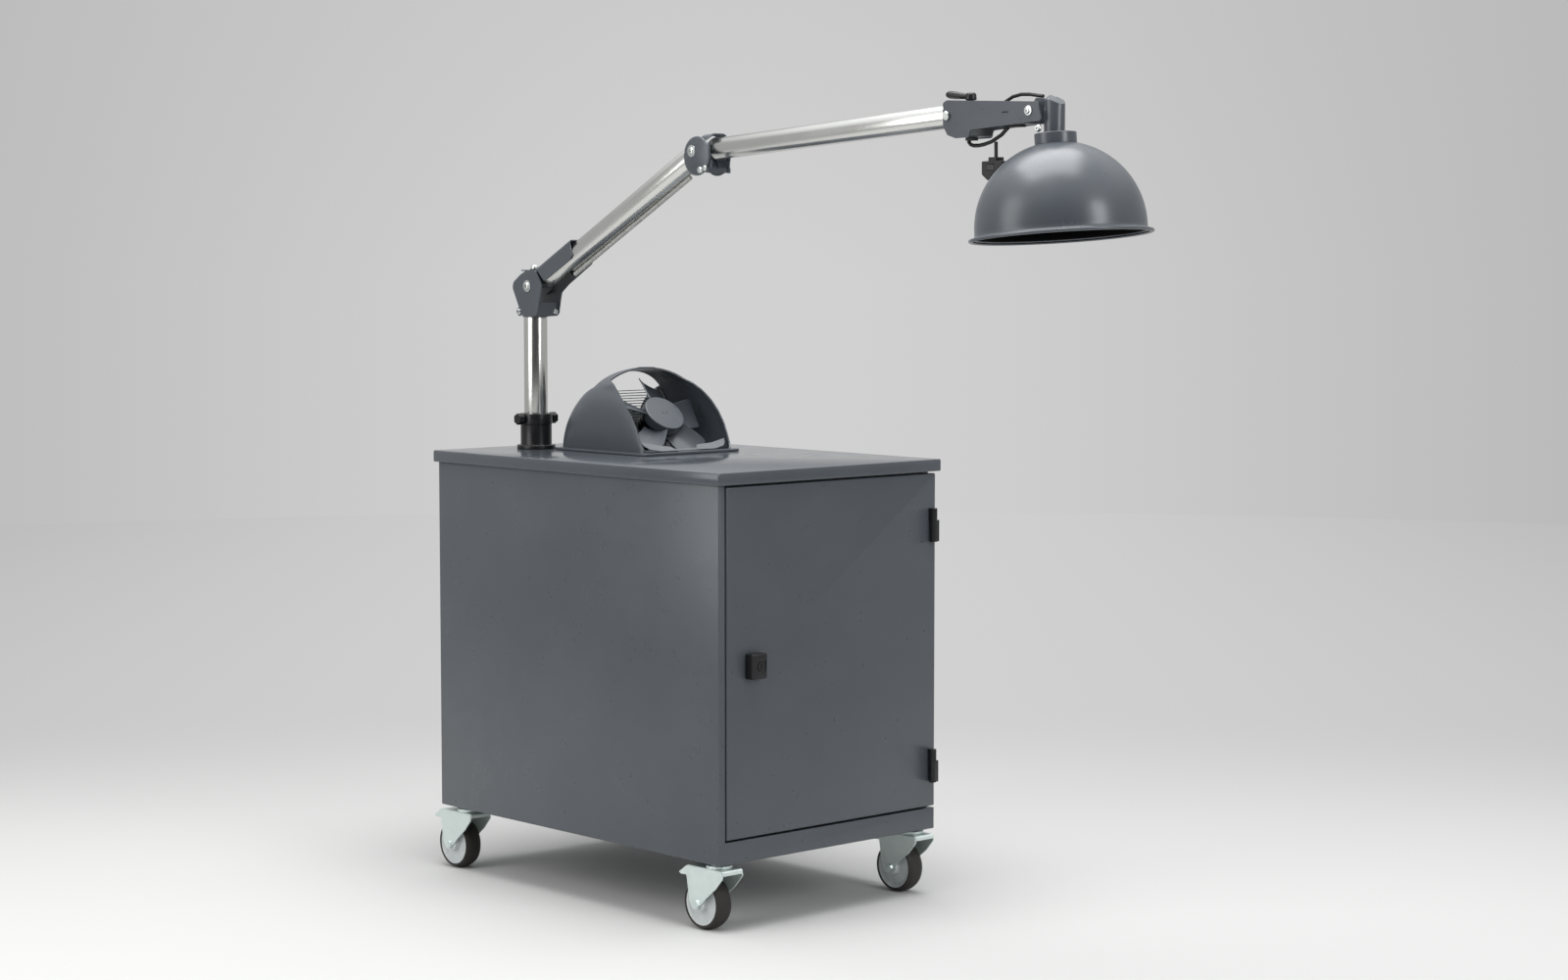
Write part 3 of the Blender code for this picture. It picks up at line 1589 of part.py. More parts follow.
# Loop handle below the channel, its stem and the switch
def make_handle():
    loop_shares = (
        (0.136, -0.500),
        (0.112, -0.690),
        (0.104, -0.760),
        (0.124, -0.830),
        (0.152, -0.865),
        (0.205, -0.870),
        (0.262, -0.845),
        (0.336, -0.780),
        (0.440, -0.600),
        (0.505, -0.478),
    )
    points = scaled(loop_shares, channel_length, channel_height)
    arm_top = -channel_height * 0.340 - gap
    route = [(0, -along, up) for along, up in points]
    route[-1] = (0, route[-1][1], arm_top - loop_radius * 1.1)
    loop = put(as_mesh(wire("loop_handle", route[1:], loop_radius, 2)), wrist, black_plastic)
    left_end = box(
        "loop_left_end",
        (-loop_radius * 2, route[1][1] - loop_radius * 4, route[1][2] - loop_radius / 2),
        (loop_radius * 2, route[1][1] + loop_radius, -channel_height * 0.62 - gap),
    )
    right_end = box(
        "loop_right_end",
        (-loop_radius * 2, -front_web_start - loop_radius * 4, arm_top - loop_radius * 1.2),
        (loop_radius * 2, route[-1][1] + loop_radius, arm_top),
    )
    join(loop, put(left_end, wrist), put(right_end, wrist))

    stem_top = -0.0443
    neck_top = stem_top - stem_radius - stem_length
    stem = rod("switch_stem", stem_radius, (0, 0, -seam), (0, 0, stem_length), 12)
    neck = box(
        "switch_neck",
        (-switch_width / 3, -switch_neck_length / 2, -switch_neck_height - seam),
        (switch_width / 3, switch_neck_length / 2, 0),
    )
    body_outline = [
        (-switch_length * 0.55, 0),
        (switch_length * 0.45, 0),
        (switch_length * 0.45 + switch_nose, -switch_neck_height * 0.1),
        (switch_length * 0.25, -switch_height * 0.75),
        (-switch_length * 0.17, -switch_height * 1.4),
        (-switch_length * 0.55, -switch_height * 0.95),
    ]
    outline = rounded(body_outline, switch_edge_radius, 2)
    place = (0, -stem_place, neck_top - switch_neck_height)
    housing = put(sheet_plate("switch_housing", outline, switch_width), wrist, black_plastic, place, side_on)
    for piece in (neck, stem):
        join(housing, put(piece, wrist, None, (0, -stem_place, neck_top)))
    pocket = box(
        "rocker_pocket",
        (-switch_width / 2 - overrun, -rocker_length / 2 - running_gap, -rocker_width / 2 - running_gap),
        (-switch_width / 2 + rocker_depth, rocker_length / 2 + running_gap, rocker_width / 2 + running_gap),
    )
    rocker_place = (0, -stem_place, neck_top - switch_neck_height - switch_height * 0.45)
    cut(housing, put(pocket, wrist, None, rocker_place))
    turn_place = (-switch_width / 2 + rocker_depth * 0.35, *rocker_place[1:])
    turn = add_empty("rocker_turn", wrist, turn_place)
    low, high = -rocker_depth * 0.55, rocker_depth * 0.30
    rocker_outline = [
        (-rocker_length / 2, low),
        (0, -rocker_depth * 0.35),
        (rocker_length / 2, -rocker_depth * 0.15),
        (rocker_length / 2, 0),
        (0, high),
        (-rocker_length / 2, 0),
    ]
    rocker = sheet_plate("switch_rocker", rocker_outline, rocker_width)
    put(rocker, turn, black_plastic, origin, (0, 0, -math.pi / 2))


make_channel()
make_lever()
make_handle()


# Knuckle: an upright post on the tilt bolt that the hood's collar turns under
def make_knuckle():
    post = turned(
        "hood_knuckle",
        [
            (0, knuckle_top),
            (knuckle_radius * 0.7, knuckle_top),
            (knuckle_radius, knuckle_top - knuckle_radius * 0.3),
            (knuckle_radius, -hood_drop - knuckle_radius),
            (0, -hood_drop - knuckle_radius),
        ],
        20,
    )
    put(post, hood_tilt, powder_coat, (0, -knuckle_reach, 0))
    eye_outline = [
        (-knuckle_tongue, -knuckle_tongue * 0.6),
        (-knuckle_tongue * 0.6, -knuckle_tongue),
        (knuckle_reach, -knuckle_tongue * 1.6),
        (knuckle_reach, knuckle_tongue * 1.6),
        (-knuckle_tongue * 0.2, knuckle_tongue * 1.9),
        (-knuckle_tongue, knuckle_tongue * 0.7),
    ]
    eye = sheet_plate("knuckle_eye", rounded(eye_outline, knuckle_tongue / 3, 2), knuckle_radius)
    put(eye, hood_tilt, None, origin, side_on)
    cap = turned(
        "knuckle_cap",
        [
            (0, knuckle_cap_radius),
            (knuckle_cap_radius * 0.8, knuckle_cap_radius * 0.6),
            (knuckle_cap_radius, 0),
            (knuckle_cap_radius, -seam),
            (0, -seam),
        ],
        12,
    )
    put(cap, hood_tilt, None, (0, -knuckle_reach + knuckle_radius * 0.4, knuckle_top))
    join(post, eye, cap)
    reach = knuckle_radius + overrun
    hole = rod("knuckle_hole", bolt_radius + gap, (-reach, 0, 0), (reach, 0, 0), bolt_steps)
    foot = hood_collar_top + gap
    below = box("knuckle_foot_trim", (-reach, -reach, foot - reach), (reach, reach, foot))
    bore_top = hood_collar_top + swivel_pin_height + gap * 2
    bore = rod("knuckle_bore", swivel_pin_radius + gap, (0, 0, foot - reach), (0, 0, bore_top), bolt_steps)
    for tool in (below, bore):
        put(tool, hood_tilt, None, (0, -hood_reach, -hood_drop), (-hood_lean, 0, 0))
    cut(post, put(hole, hood_tilt), below, bore)


# Cable: a short loop held between the channel and the knuckle
def make_cable():
    end = -wrist_length - knuckle_tongue * 0.2 + cable_radius
    route = [
        (cable_side, -0.0900, -0.0020),
        (cable_side, -0.0960, 0.0100),
        (cable_side, -0.1060, 0.0215),
        (cable_side, -0.1220, 0.0285),
        (cable_side, -0.1420, 0.0315),
        (cable_side, -0.1620, 0.0305),
        (cable_side, -0.1780, 0.0280),
        (cable_side, end, 0.0258),
    ]
    put(wire("cable_loop", route, cable_radius, 2), wrist, rubber)


# Hood: the collar hangs below the knuckle on the leaning swivel axis, with the dome below it
hood_swivel = add_empty("hood_swivel", hood_tilt, (0, -hood_reach, -hood_drop), (-hood_lean, 0, 0))


def make_hood():
    top = hood_collar_top
    bottom = dome_height(hood_collar_radius) + gap * 2
    pin_top = top + swivel_pin_height
    seat_steps = 3
    profile = [
        (0, pin_top),
        (swivel_pin_radius, pin_top),
        (swivel_pin_radius, top),
        (hood_collar_radius - hood_collar_edge, top),
        (hood_collar_radius, top - hood_collar_edge),
    ]
    for step in range(seat_steps + 1):
        radius = hood_collar_radius * (1 - step / seat_steps)
        profile.append((radius, dome_height(radius) + gap * 2))
    collar = turned("hood_collar", profile)
    put(collar, hood_swivel, powder_coat)
    screw_z = (top + bottom) / 2 - collar_screw_height / 3
    screw = rod(
        "collar_screw",
        collar_screw_radius,
        (0, hood_collar_radius - seam * 4, screw_z),
        (0, hood_collar_radius + collar_screw_height, screw_z),
        12,
    )
    join(collar, put(screw, hood_swivel))

    steps = 8
    rim = -hood_centre_drop - hood_skirt
    profile = []
    for step in range(steps + 1):
        angle = math.pi / 2 * (1 - step / steps)
        profile.append((hood_radius * math.cos(angle), -hood_centre_drop + hood_radius * math.sin(angle)))
    profile[0] = (0, profile[0][1])
    profile += [
        (hood_radius, rim + hood_lip_thickness),
        (hood_radius + hood_lip, rim + hood_lip_thickness / 2),
        (hood_radius + hood_lip - hood_lip_thickness / 2, rim),
        (hood_radius - hood_wall, rim),
    ]
    inner = hood_radius - hood_wall
    for step in range(steps + 1):
        angle = math.pi / 2 * step / steps
        profile.append((inner * math.cos(angle), -hood_centre_drop + inner * math.sin(angle)))
    profile[-1] = (0, profile[-1][1])
    put(turned("hood", profile, hood_steps), hood_swivel, powder_coat)


def dome_height(radius):
    """How high the dome's outer face lies at a radius, in the hood's frame."""
    return math.sqrt(hood_radius**2 - radius**2) - hood_centre_drop


make_knuckle()
make_cable()
make_hood()


# Casters: a fixed race, a fork that swivels on it, and a wheel with its tyre
def make_caster(label, x, y):
    fixed = add_empty(label + "_caster", extractor, (x, y, 0))
    race_top = race_spacer + gap
    ring_bottom = fork_top - gap
    crown_bottom = fork_top + fork_sheet + gap
    nut_bottom = crown_bottom + race_nut_height
    profile = [
        (0, -gap),
        (race_radius * 0.7, -gap),
        (race_radius * 0.7, -race_top),
        (race_radius, -race_top),
        (race_radius, -ring_bottom),
        (race_stem_radius, -ring_bottom),
        (race_stem_radius, -crown_bottom),
        (race_nut_radius, -crown_bottom),
        (race_nut_radius, -nut_bottom),
        (0, -nut_bottom),
    ]
    put(turned(label + "_race", profile, bolt_steps), fixed, zinc)

    swivel = add_empty(label + "_swivel", fixed, origin)
    axle_drop = caster_height - wheel_radius
    cheek_shares = (
        (0.72, -0.126),
        (1.07, -0.290),
        (1.00, -0.330),
        (0.80, -0.322),
        (0.70, -0.850),
        (0.59, -1.000),
        (0.41, -0.990),
        (0.10, -0.720),
        (-0.22, -0.500),
        (-0.47, -0.250),
        (-0.44, -0.126),
    )
    fork_drop = axle_drop + wheel_radius * 0.22
    outline = scaled(cheek_shares, -fork_length, fork_drop)
    cheek_x = fork_inner + fork_sheet / 2
    fork = put(sheet_plate(label + "_fork", outline, fork_sheet), swivel, zinc, (-cheek_x, 0, 0), side_on)
    other = sheet_plate(label + "_fork_cheek", outline, fork_sheet)
    put(other, swivel, None, (cheek_x, 0, 0), side_on)
    crown_start = -0.44
    crown_end = 0.72
    nose_y = 1.07
    top = -fork_top
    thick = fork_sheet
    crown_outline = [
        (fork_length * crown_start - thick, top - thick * 3.5),
        (fork_length * crown_start, top - thick * 3.5),
        (fork_length * crown_start + thick / 2, top - thick),
        (fork_length * crown_end, top - thick),
        (fork_length * nose_y - thick / 2, -fork_drop * 0.33),
        (fork_length * nose_y + thick / 2, -fork_drop * 0.29),
        (fork_length * 0.83, top - thick * 0.9),
        (fork_length * crown_end, top),
        (fork_length * crown_start, top),
        (fork_length * crown_start - thick, top - thick),
    ]
    outline = [(-along, up) for along, up in crown_outline]
    crown = sheet_plate(label + "_fork_crown", outline, (fork_inner + seam) * 2)
    put(crown, swivel, None, origin, side_on)
    axle = (0, caster_trail, -axle_drop)
    reach = fork_inner + fork_sheet
    spindle = rod(label + "_axle", axle_radius, (-reach, *axle[1:]), (reach, *axle[1:]), 10)
    join(fork, other, crown, put(spindle, swivel))
    for name, sign in (("left", -1), ("right", 1)):
        start = (sign * (reach - seam), *axle[1:])
        end = (sign * (reach + axle_head_height), *axle[1:])
        head = rod(label + "_axle_head_" + name, axle_head_radius, start, end, 8, axle_head_radius * 0.8)
        join(fork, put(head, swivel))
    bore = rod(
        label + "_fork_bore",
        race_stem_radius + gap,
        (0, 0, -fork_top - fork_sheet - overrun / 4),
        (0, 0, -fork_top + overrun / 4),
        bolt_steps,
    )
    cut(fork, put(bore, swivel))

    roll = add_empty(label + "_roll", swivel, axle, along_x)
    hub_end = fork_inner - running_gap
    half = tyre_width / 2
    rim = [
        (rim_bore_radius, hub_end),
        (rim_hub_radius, hub_end),
        (rim_hub_radius * 1.15, half * 0.62),
        (rim_radius * 0.82, half * 0.62),
        (rim_radius, half * 0.95),
        (rim_radius, -half * 0.95),
        (rim_radius * 0.82, -half * 0.62),
        (rim_hub_radius * 1.15, -half * 0.62),
        (rim_hub_radius, -hub_end),
        (rim_bore_radius, -hub_end),
    ]
    put(turned(label + "_rim", rim, wheel_steps, closed=True), roll, grey_plastic)
    bed = rim_radius + gap
    tread = [
        (bed, half * 0.95),
        (wheel_radius - half * 0.22, half),
        (wheel_radius, half * 0.50),
        (wheel_radius, -half * 0.50),
        (wheel_radius - half * 0.22, -half),
        (bed, -half * 0.95),
    ]
    put(turned(label + "_tyre", tread, wheel_steps, closed=True), roll, rubber)


left_x = caster_side_inset
right_x = cabinet_width - caster_side_inset
rear_y = cabinet_depth - caster_rear_inset
make_caster("front_left", left_x, caster_front_inset)
make_caster("front_right", right_x, caster_front_inset)
make_caster("rear_left", left_x, rear_y)
make_caster("rear_right", right_x, rear_y)
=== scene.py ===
import math

import bmesh
import bpy
from mathutils import Matrix, Vector


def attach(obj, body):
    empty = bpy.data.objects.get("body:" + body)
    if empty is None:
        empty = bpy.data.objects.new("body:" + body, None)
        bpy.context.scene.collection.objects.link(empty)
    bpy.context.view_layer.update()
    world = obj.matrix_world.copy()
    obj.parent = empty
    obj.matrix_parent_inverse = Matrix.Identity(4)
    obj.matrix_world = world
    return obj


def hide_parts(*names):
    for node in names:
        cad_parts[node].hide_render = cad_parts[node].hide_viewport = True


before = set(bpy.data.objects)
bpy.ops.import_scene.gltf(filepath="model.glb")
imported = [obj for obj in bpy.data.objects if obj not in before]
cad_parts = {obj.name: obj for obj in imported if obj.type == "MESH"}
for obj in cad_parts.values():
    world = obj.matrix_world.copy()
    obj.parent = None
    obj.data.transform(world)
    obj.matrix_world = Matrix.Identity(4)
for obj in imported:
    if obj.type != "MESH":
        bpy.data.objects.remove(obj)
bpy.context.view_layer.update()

# Cabinet shell: folded 2 mm sheet steel, welded, then powder coated slate grey.
# Its bent edges are soft and the coat has the fine ripple of sprayed powder.


class Value:
    """One output of a material's node, so that shader maths is written as a sum."""

    def __init__(self, finish, output):
        self.finish = finish
        self.output = output

    def step(self, operation, *terms):
        return self.finish.node("ShaderNodeMath", {"operation": operation}, dict(enumerate(terms)))

    def __add__(self, other):
        return self.step("ADD", self, other)

    def __sub__(self, other):
        return self.step("SUBTRACT", self, other)

    def __rsub__(self, other):
        return self.step("SUBTRACT", other, self)

    def __mul__(self, other):
        return self.step("MULTIPLY", self, other)

    __radd__ = __add__
    __rmul__ = __mul__


class Finish:
    """A material: its nodes, its shader, and the record's slot that it belongs to."""

    def __init__(self, name, slot=None, constants=None, owner=None):
        self.owner = owner or bpy.data.materials.new(name)
        self.owner.use_nodes = True
        self.slot = slot
        self.tree = self.owner.node_tree
        self.shader = self.tree.nodes.get("Principled BSDF")
        for socket, value in (constants or {}).items():
            self.shader.inputs[socket].default_value = value

    def feed(self, socket, value):
        if isinstance(value, Value):
            self.tree.links.new(value.output, socket)
        else:
            socket.default_value = value

    def node(self, kind, settings=None, sockets=None, output=0):
        made = self.tree.nodes.new(kind)
        for name, value in (settings or {}).items():
            setattr(made, name, value)
        for name, value in (sockets or {}).items():
            self.feed(made.inputs[name], value)
        return Value(self, made.outputs[output])

    def place(self, stretch=(1, 1, 1), lean=0.0, centre=(0, 0, 0)):
        """Object coordinates, stretched in a frame that leans about X."""
        here = self.node("ShaderNodeTexCoord", output="Object")
        here = self.vector("SUBTRACT", here, centre)
        here = self.node("ShaderNodeMapping", None, {"Vector": here, "Rotation": (-lean, 0, 0)})
        return self.vector("MULTIPLY", here, stretch)

    def vector(self, operation, *terms, output=0):
        sockets = dict(enumerate(terms))
        return self.node("ShaderNodeVectorMath", {"operation": operation}, sockets, output)

    def noise(self, place, scale, detail=2.0, roughness=0.5):
        return self.node(
            "ShaderNodeTexNoise",
            None,
            {"Vector": place, "Scale": scale, "Detail": detail, "Roughness": roughness},
        )

    def between(self, mask, first, second):
        """One colour where the mask is 0 and the other where it is 1."""
        colours = {0: mask, 6: first, 7: second}
        return self.node("ShaderNodeMix", {"data_type": "RGBA"}, colours, output=2)

    def range(self, value, low, high, start=0.0, end=1.0):
        """From low to high while the value goes from start to end."""
        return self.node(
            "ShaderNodeMapRange",
            None,
            {"Value": value, "From Min": start, "From Max": end, "To Min": low, "To Max": high},
        )

    def ripple(self, height, depth, strength):
        """A bump in the surface, with its depth in metres."""
        sockets = {"Height": height, "Distance": depth, "Strength": strength}
        bump = self.node("ShaderNodeBump", None, sockets)
        self.feed(self.shader.inputs["Normal"], bump)

    def set(self, **parts):
        """Feeds the shader's sockets: Base_Color stands for Base Color."""
        for name, value in parts.items():
            self.feed(self.shader.inputs[name.replace("_", " ").title()], value)


def powder(name, dark, light, low_sheen, high_sheen):
    """Sprayed powder: slow clouds in tone and sheen over a fine ripple."""
    finish = Finish(name, "powder_coat", {"Specular IOR Level": 0.5})
    here = finish.place()
    clouds = finish.noise(here, scale=5.0, detail=3.0, roughness=0.6)
    specks = finish.noise(here, scale=900.0, detail=1.0)
    tone = finish.range(clouds * 0.7 + specks * 0.3, 0.0, 1.0, start=0.32, end=0.68)
    rub = finish.noise(here, scale=30.0, detail=3.0)
    finish.set(
        Base_Color=finish.between(tone, (*dark, 1), (*light, 1)),
        Roughness=finish.range(rub, low_sheen, high_sheen, start=0.3, end=0.7),
    )
    finish.ripple(finish.noise(here, scale=420.0), depth=0.0001, strength=0.25)
    return finish


slate_dark = (0.062, 0.071, 0.083)
slate_light = (0.075, 0.085, 0.098)
slate = powder("slate_powder_coat", slate_dark, slate_light, 0.27, 0.34)


scene = bpy.context.scene


def fit(piece, body, finish, *nodes):
    """Gives a finished piece its material, its body and the CAD nodes that it stands for."""
    scene.collection.objects.link(piece)
    piece.data.materials.clear()
    piece.data.materials.append(finish.owner)
    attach(piece, body)
    if nodes:
        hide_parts(*nodes)


def as_piece(name, shape, sharp=40, smooth=True):
    """A shape as an object, shaded smooth up to the sharp angle in degrees."""
    mesh = bpy.data.meshes.new(name)
    shape.to_mesh(mesh)
    shape.free()
    if smooth:
        mesh.shade_smooth()
        mesh.set_sharp_from_angle(angle=math.radians(sharp))
    return bpy.data.objects.new(name, mesh)


def eased(piece, width, segments=2, turn=30):
    """A live bevel on the edges that turn by more than some degrees; the flats stay flat."""
    edge = piece.modifiers.new("eased_edges", "BEVEL")
    edge.width = width
    edge.segments = segments
    edge.limit_method = "ANGLE"
    edge.angle_limit = math.radians(turn)
    edge.harden_normals = True
    return piece


merge_distance = 0.00002
flat_turn = math.radians(0.6)


def pressed(node, width, segments=2, turn=30):
    """A CAD piece's own sheet or casting, merged, its edges eased as deburring leaves them."""
    shape = bmesh.new()
    shape.from_mesh(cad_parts[node].data)
    bmesh.ops.remove_doubles(shape, verts=shape.verts, dist=merge_distance)
    bmesh.ops.dissolve_limit(
        shape,
        angle_limit=flat_turn,
        use_dissolve_boundaries=False,
        verts=shape.verts,
        edges=shape.edges,
    )
    return eased(as_piece(node + "_finished", shape), width, segments, turn)


def dress(node, body, finish, width, segments=2, turn=30):
    """Stands a pressed copy for its own CAD node."""
    fit(pressed(node, width, segments, turn), body, finish, node)


dress("cabinet_body", "cabinet", slate, 0.0009, 3)

# Lid: one folded sheet with a skirt that overhangs the cabinet, its corners welded and
# ground round before the same coat, glossier here. It stays on and carries the cowl and
# the mast.

glossy_slate = powder("glossy_slate_coat", slate_dark, slate_light, 0.12, 0.18)
dress("lid", "cabinet", glossy_slate, 0.0012, 3)

# Shelf, filter frame and inlet duct: plain galvanised sheet inside the cabinet, with the
# zinc's grey crystals. The filter pack is stiff pleated paper in its frame.

galvanised = Finish("galvanised_sheet", "galvanised", {"Metallic": 0.85})
crystal_sockets = {"Vector": galvanised.place(), "Scale": 60.0}
crystals = galvanised.node("ShaderNodeTexVoronoi", None, crystal_sockets, "Color")
tone = galvanised.node("ShaderNodeSeparateColor", None, {"Color": crystals})
galvanised.set(
    Base_Color=galvanised.between(tone, (0.36, 0.39, 0.41, 1), (0.56, 0.59, 0.61, 1)),
    Roughness=galvanised.range(tone, 0.34, 0.56),
)
for node in ("filter_shelf", "filter_frame", "inlet_duct"):
    dress(node, "cabinet", galvanised, 0.0005)

paper = Finish("filter_paper", "filter_paper", {"Roughness": 0.9})
fibres = paper.noise(paper.place(stretch=(1, 1, 0.3)), scale=400.0, detail=3.0)
paper.set(Base_Color=paper.between(fibres, (0.70, 0.67, 0.60, 1), (0.82, 0.80, 0.74, 1)))
paper.ripple(fibres, depth=0.0002, strength=0.5)
dress("filter_pleats", "cabinet", paper, 0.0006)

# Door: a folded pan of the same coated sheet, with a black rubber seal glued round the
# back of its rim. It hangs on two lift-off hinges at its right edge.

rubber = Finish("black_rubber", "rubber", {"Specular IOR Level": 0.35})
rubber_grain = rubber.noise(rubber.place(), scale=800.0)
rubber.set(
    Base_Color=rubber.between(rubber_grain, (0.010, 0.010, 0.011, 1), (0.022, 0.021, 0.021, 1)),
    Roughness=rubber.range(rubber_grain, 0.48, 0.68, start=0.3, end=0.7),
)
rubber.ripple(rubber_grain, depth=0.0001, strength=0.5)

dress("door_panel", "door", slate, 0.0012, 3)
dress("door_gasket", "door", rubber, 0.0012, 3)

# Hinges: turned barrels and stamped leaves, zinc plated and lacquered satin black.
# The wing lifts off the base's pin.


def painted(name, colour, low_sheen, high_sheen, slot, grain=500.0, depth=0.00006):
    """Lacquer or moulded plastic: one tone, lighter in patches of wear and painted sheen, a fine
    grain, a slightly uneven sheen.
    """
    finish = Finish(name, slot, {"Specular IOR Level": 0.4})
    here = finish.place()
    rub = finish.noise(here, scale=45.0, detail=4.0, roughness=0.65)
    # The lighter patches are partly rubbed wear and partly painted sheen.
    rubbed_and_sheen_tint = [tint * 1.9 for tint in colour]
    finish.set(
        Base_Color=finish.between(rub, (*colour, 1), (*rubbed_and_sheen_tint, 1)),
        Roughness=finish.range(rub, low_sheen, high_sheen, start=0.3, end=0.7),
    )
    finish.ripple(finish.noise(here, grain), depth, strength=0.5)
    return finish


near_black = (0.006, 0.006, 0.007)
satin_black = painted("satin_black_lacquer", near_black, 0.26, 0.38, "black_metal")

for part, body in (("base", "cabinet"), ("wing", "door")):
    for level in ("upper", "lower"):
        dress(f"{level}_hinge_{part}", body, satin_black, 0.0006)

# Turn lock: a moulded black housing on the door with a steel rotor that carries the cam.
# The rotor's slot takes a simple key.

black_plastic = painted(
    "moulded_black_plastic", near_black, 0.32, 0.46, "black_plastic", grain=700.0, depth=0.0001
)

dress("lock_housing", "door", black_plastic, 0.0010, 3)
dress("lock_rotor", "lock", satin_black, 0.0005)

# Fan cowl: a pressed dome, square at the foot and round at the crown, cut open by the
# leaning mouth and by the rear window, and welded on a flat flange.

cowl_place = Vector((0.0285, 0.5464, 0.8641))
cowl_half = 0.1175
cowl_depth_share = 1.143
cowl_rise = 0.170
cowl_reach = 0.1727
cowl_crown_corner = 2.1
cowl_foot_corner = 26.0
corner_growth = 1.1
near_crown = 0.995
last_level = 0.35
silhouette_way = (0.7388, 0.6739)
cowl_wall = 0.003
flange_half = 0.128
flange_corner = 40.0
flange_sheet = 0.005
flange_weld = cowl_wall * 0.8
# Points of the mouth's edge: how far back from the cowl's front foot, and how high.
mouth_edge = (
    (-0.004, -0.001),
    (0.012, 0.023),
    (0.026, 0.053),
    (0.046, 0.079),
    (0.075, 0.105),
    (0.1085, 0.126),
    (0.1356, 0.138),
    (0.163, 0.146),
    (0.166, 0.18),
)
mouth_skew = 0.34
mouth_skew_top = 0.146
mouth_skew_side = 0.1
window_foot = Vector((0.0285, 0.628756, 0.9261))
window_lean = math.radians(17)
window_half = 0.088


def squared(angle, half, power):
    """A point on a square with rounded corners, rounder as the power falls to 2."""
    across, along = math.cos(angle), math.sin(angle)
    reach = half / (abs(across) ** power + abs(along) ** power) ** (1 / power)
    return Vector((reach * across, reach * along * cowl_depth_share, 0))


def dome_corner(height):
    """The power of the cowl's outline: nearly square at the foot, round at the crown."""
    share = min(max(height, 0.0) / cowl_rise, near_crown)
    foot, crown = 1 / cowl_foot_corner, 1 / cowl_crown_corner
    return 1 / (foot + (crown - foot) * share**corner_growth)


def dome_half(height):
    """Half the cowl's width: seen across the silhouette's way, the dome is half a ball."""
    share = min(max(height, 0.0) / cowl_rise, near_crown)
    power = dome_corner(height)
    other = power / (power - 1)
    across, along = silhouette_way
    spread = (across**other + (along * cowl_depth_share) ** other) ** (1 / other)
    return cowl_reach * math.sqrt(1 - share**2) / spread


def skewed(shape, amount):
    """Slides the cowl's upper parts along Y, so that its mouth runs further back at one side."""
    for vert in shape.verts:
        share = min(max(vert.co.z - cowl_place.z, 0.0) / mouth_skew_top, 1.0)
        vert.co.y += amount * share**3 * (vert.co.x - cowl_place.x + mouth_skew_side)


def of_kind(parts, kind):
    """Only the vertices, or only the edges, that an operator made."""
    return [part for part in parts if isinstance(part, kind)]


def make_dome(levels, sides):
    """The whole dome: a square ring drawn up, level by level, and closed at the crown."""
    shape = bmesh.new()
    bmesh.ops.create_circle(shape, segments=sides, radius=1)
    for vert in shape.verts:
        vert.co = squared(math.atan2(vert.co.y, vert.co.x), cowl_half, cowl_foot_corner)
    ring = list(shape.edges)
    for level in range(1, levels + 1):
        height = cowl_rise * math.sin(math.pi / 2 * level / (levels + last_level))
        half, corner = dome_half(height), dome_corner(height)
        grown = bmesh.ops.extrude_edge_only(shape, edges=ring)["geom"]
        ring = of_kind(grown, bmesh.types.BMEdge)
        for vert in of_kind(grown, bmesh.types.BMVert):
            angle = math.atan2(vert.co.y / cowl_depth_share, vert.co.x)
            vert.co = squared(angle, half, corner) + Vector((0, 0, height))
    bmesh.ops.contextual_create(shape, geom=ring)
    bmesh.ops.translate(shape, vec=cowl_place, verts=shape.verts)
    return shape


def sliced(shape, point, normal, parts=None):
    """Cuts new edges where a plane crosses a shape, or only some of its parts."""
    parts = parts or list(shape.verts) + list(shape.edges) + list(shape.faces)
    bmesh.ops.bisect_plane(shape, geom=parts, plane_co=point, plane_no=normal)


cowl = make_dome(levels=30, sides=240)
skewed(cowl, mouth_skew)
foot_y = cowl_place.y - cowl_half * cowl_depth_share
for (near_y, low), (far_y, high) in zip(mouth_edge, mouth_edge[1:]):
    point = Vector((0, foot_y + near_y, cowl_place.z + low))
    across = Vector((0, high - low, near_y - far_y)).normalized()
    sliced(cowl, (0, 0, cowl_place.z + high), (0, 0, 1))
    band = []
    for face in cowl.faces:
        height = face.calc_center_median().z - cowl_place.z
        if low <= height <= high or (high > cowl_rise and height > low):
            band.append(face)
    edges = list(dict.fromkeys(edge for face in band for edge in face.edges))
    verts = list(dict.fromkeys(vert for face in band for vert in face.verts))
    sliced(cowl, point, across, verts + edges + band)
    front = []
    for face in cowl.faces:
        centre = face.calc_center_median()
        if low <= centre.z - cowl_place.z <= high and (centre - point).dot(across) < 0:
            front.append(face)
    bmesh.ops.delete(cowl, geom=front, context="FACES")
skewed(cowl, -mouth_skew)
window_frame = Matrix.Translation(window_foot) @ Matrix.Rotation(window_lean, 4, "X")
for direction in (Vector((0, 1, 0)), Vector((0, 0, 1))):
    sliced(cowl, window_foot, window_frame.to_3x3() @ direction)
for side in (-1, 1):
    sliced(cowl, window_foot + Vector((side * window_half, 0, 0)), (1, 0, 0))
outside = []
for face in cowl.faces:
    spot = window_frame.inverted() @ face.calc_center_median()
    if spot.y > 0 and spot.z > 0 and abs(spot.x) < window_half:
        outside.append(face)
bmesh.ops.delete(cowl, geom=outside, context="FACES")
bmesh.ops.remove_doubles(cowl, verts=cowl.verts, dist=merge_distance)
bmesh.ops.recalc_face_normals(cowl, faces=cowl.faces)
top = max(cowl.faces, key=lambda face: face.calc_center_median().z)
if top.normal.z < 0:
    bmesh.ops.reverse_faces(cowl, faces=cowl.faces)
cowl = as_piece("fan_cowl_shell", cowl, 50)
wall = cowl.modifiers.new("wall", "SOLIDIFY")
wall.thickness = cowl_wall
wall.offset = -1
wall.use_even_offset = True
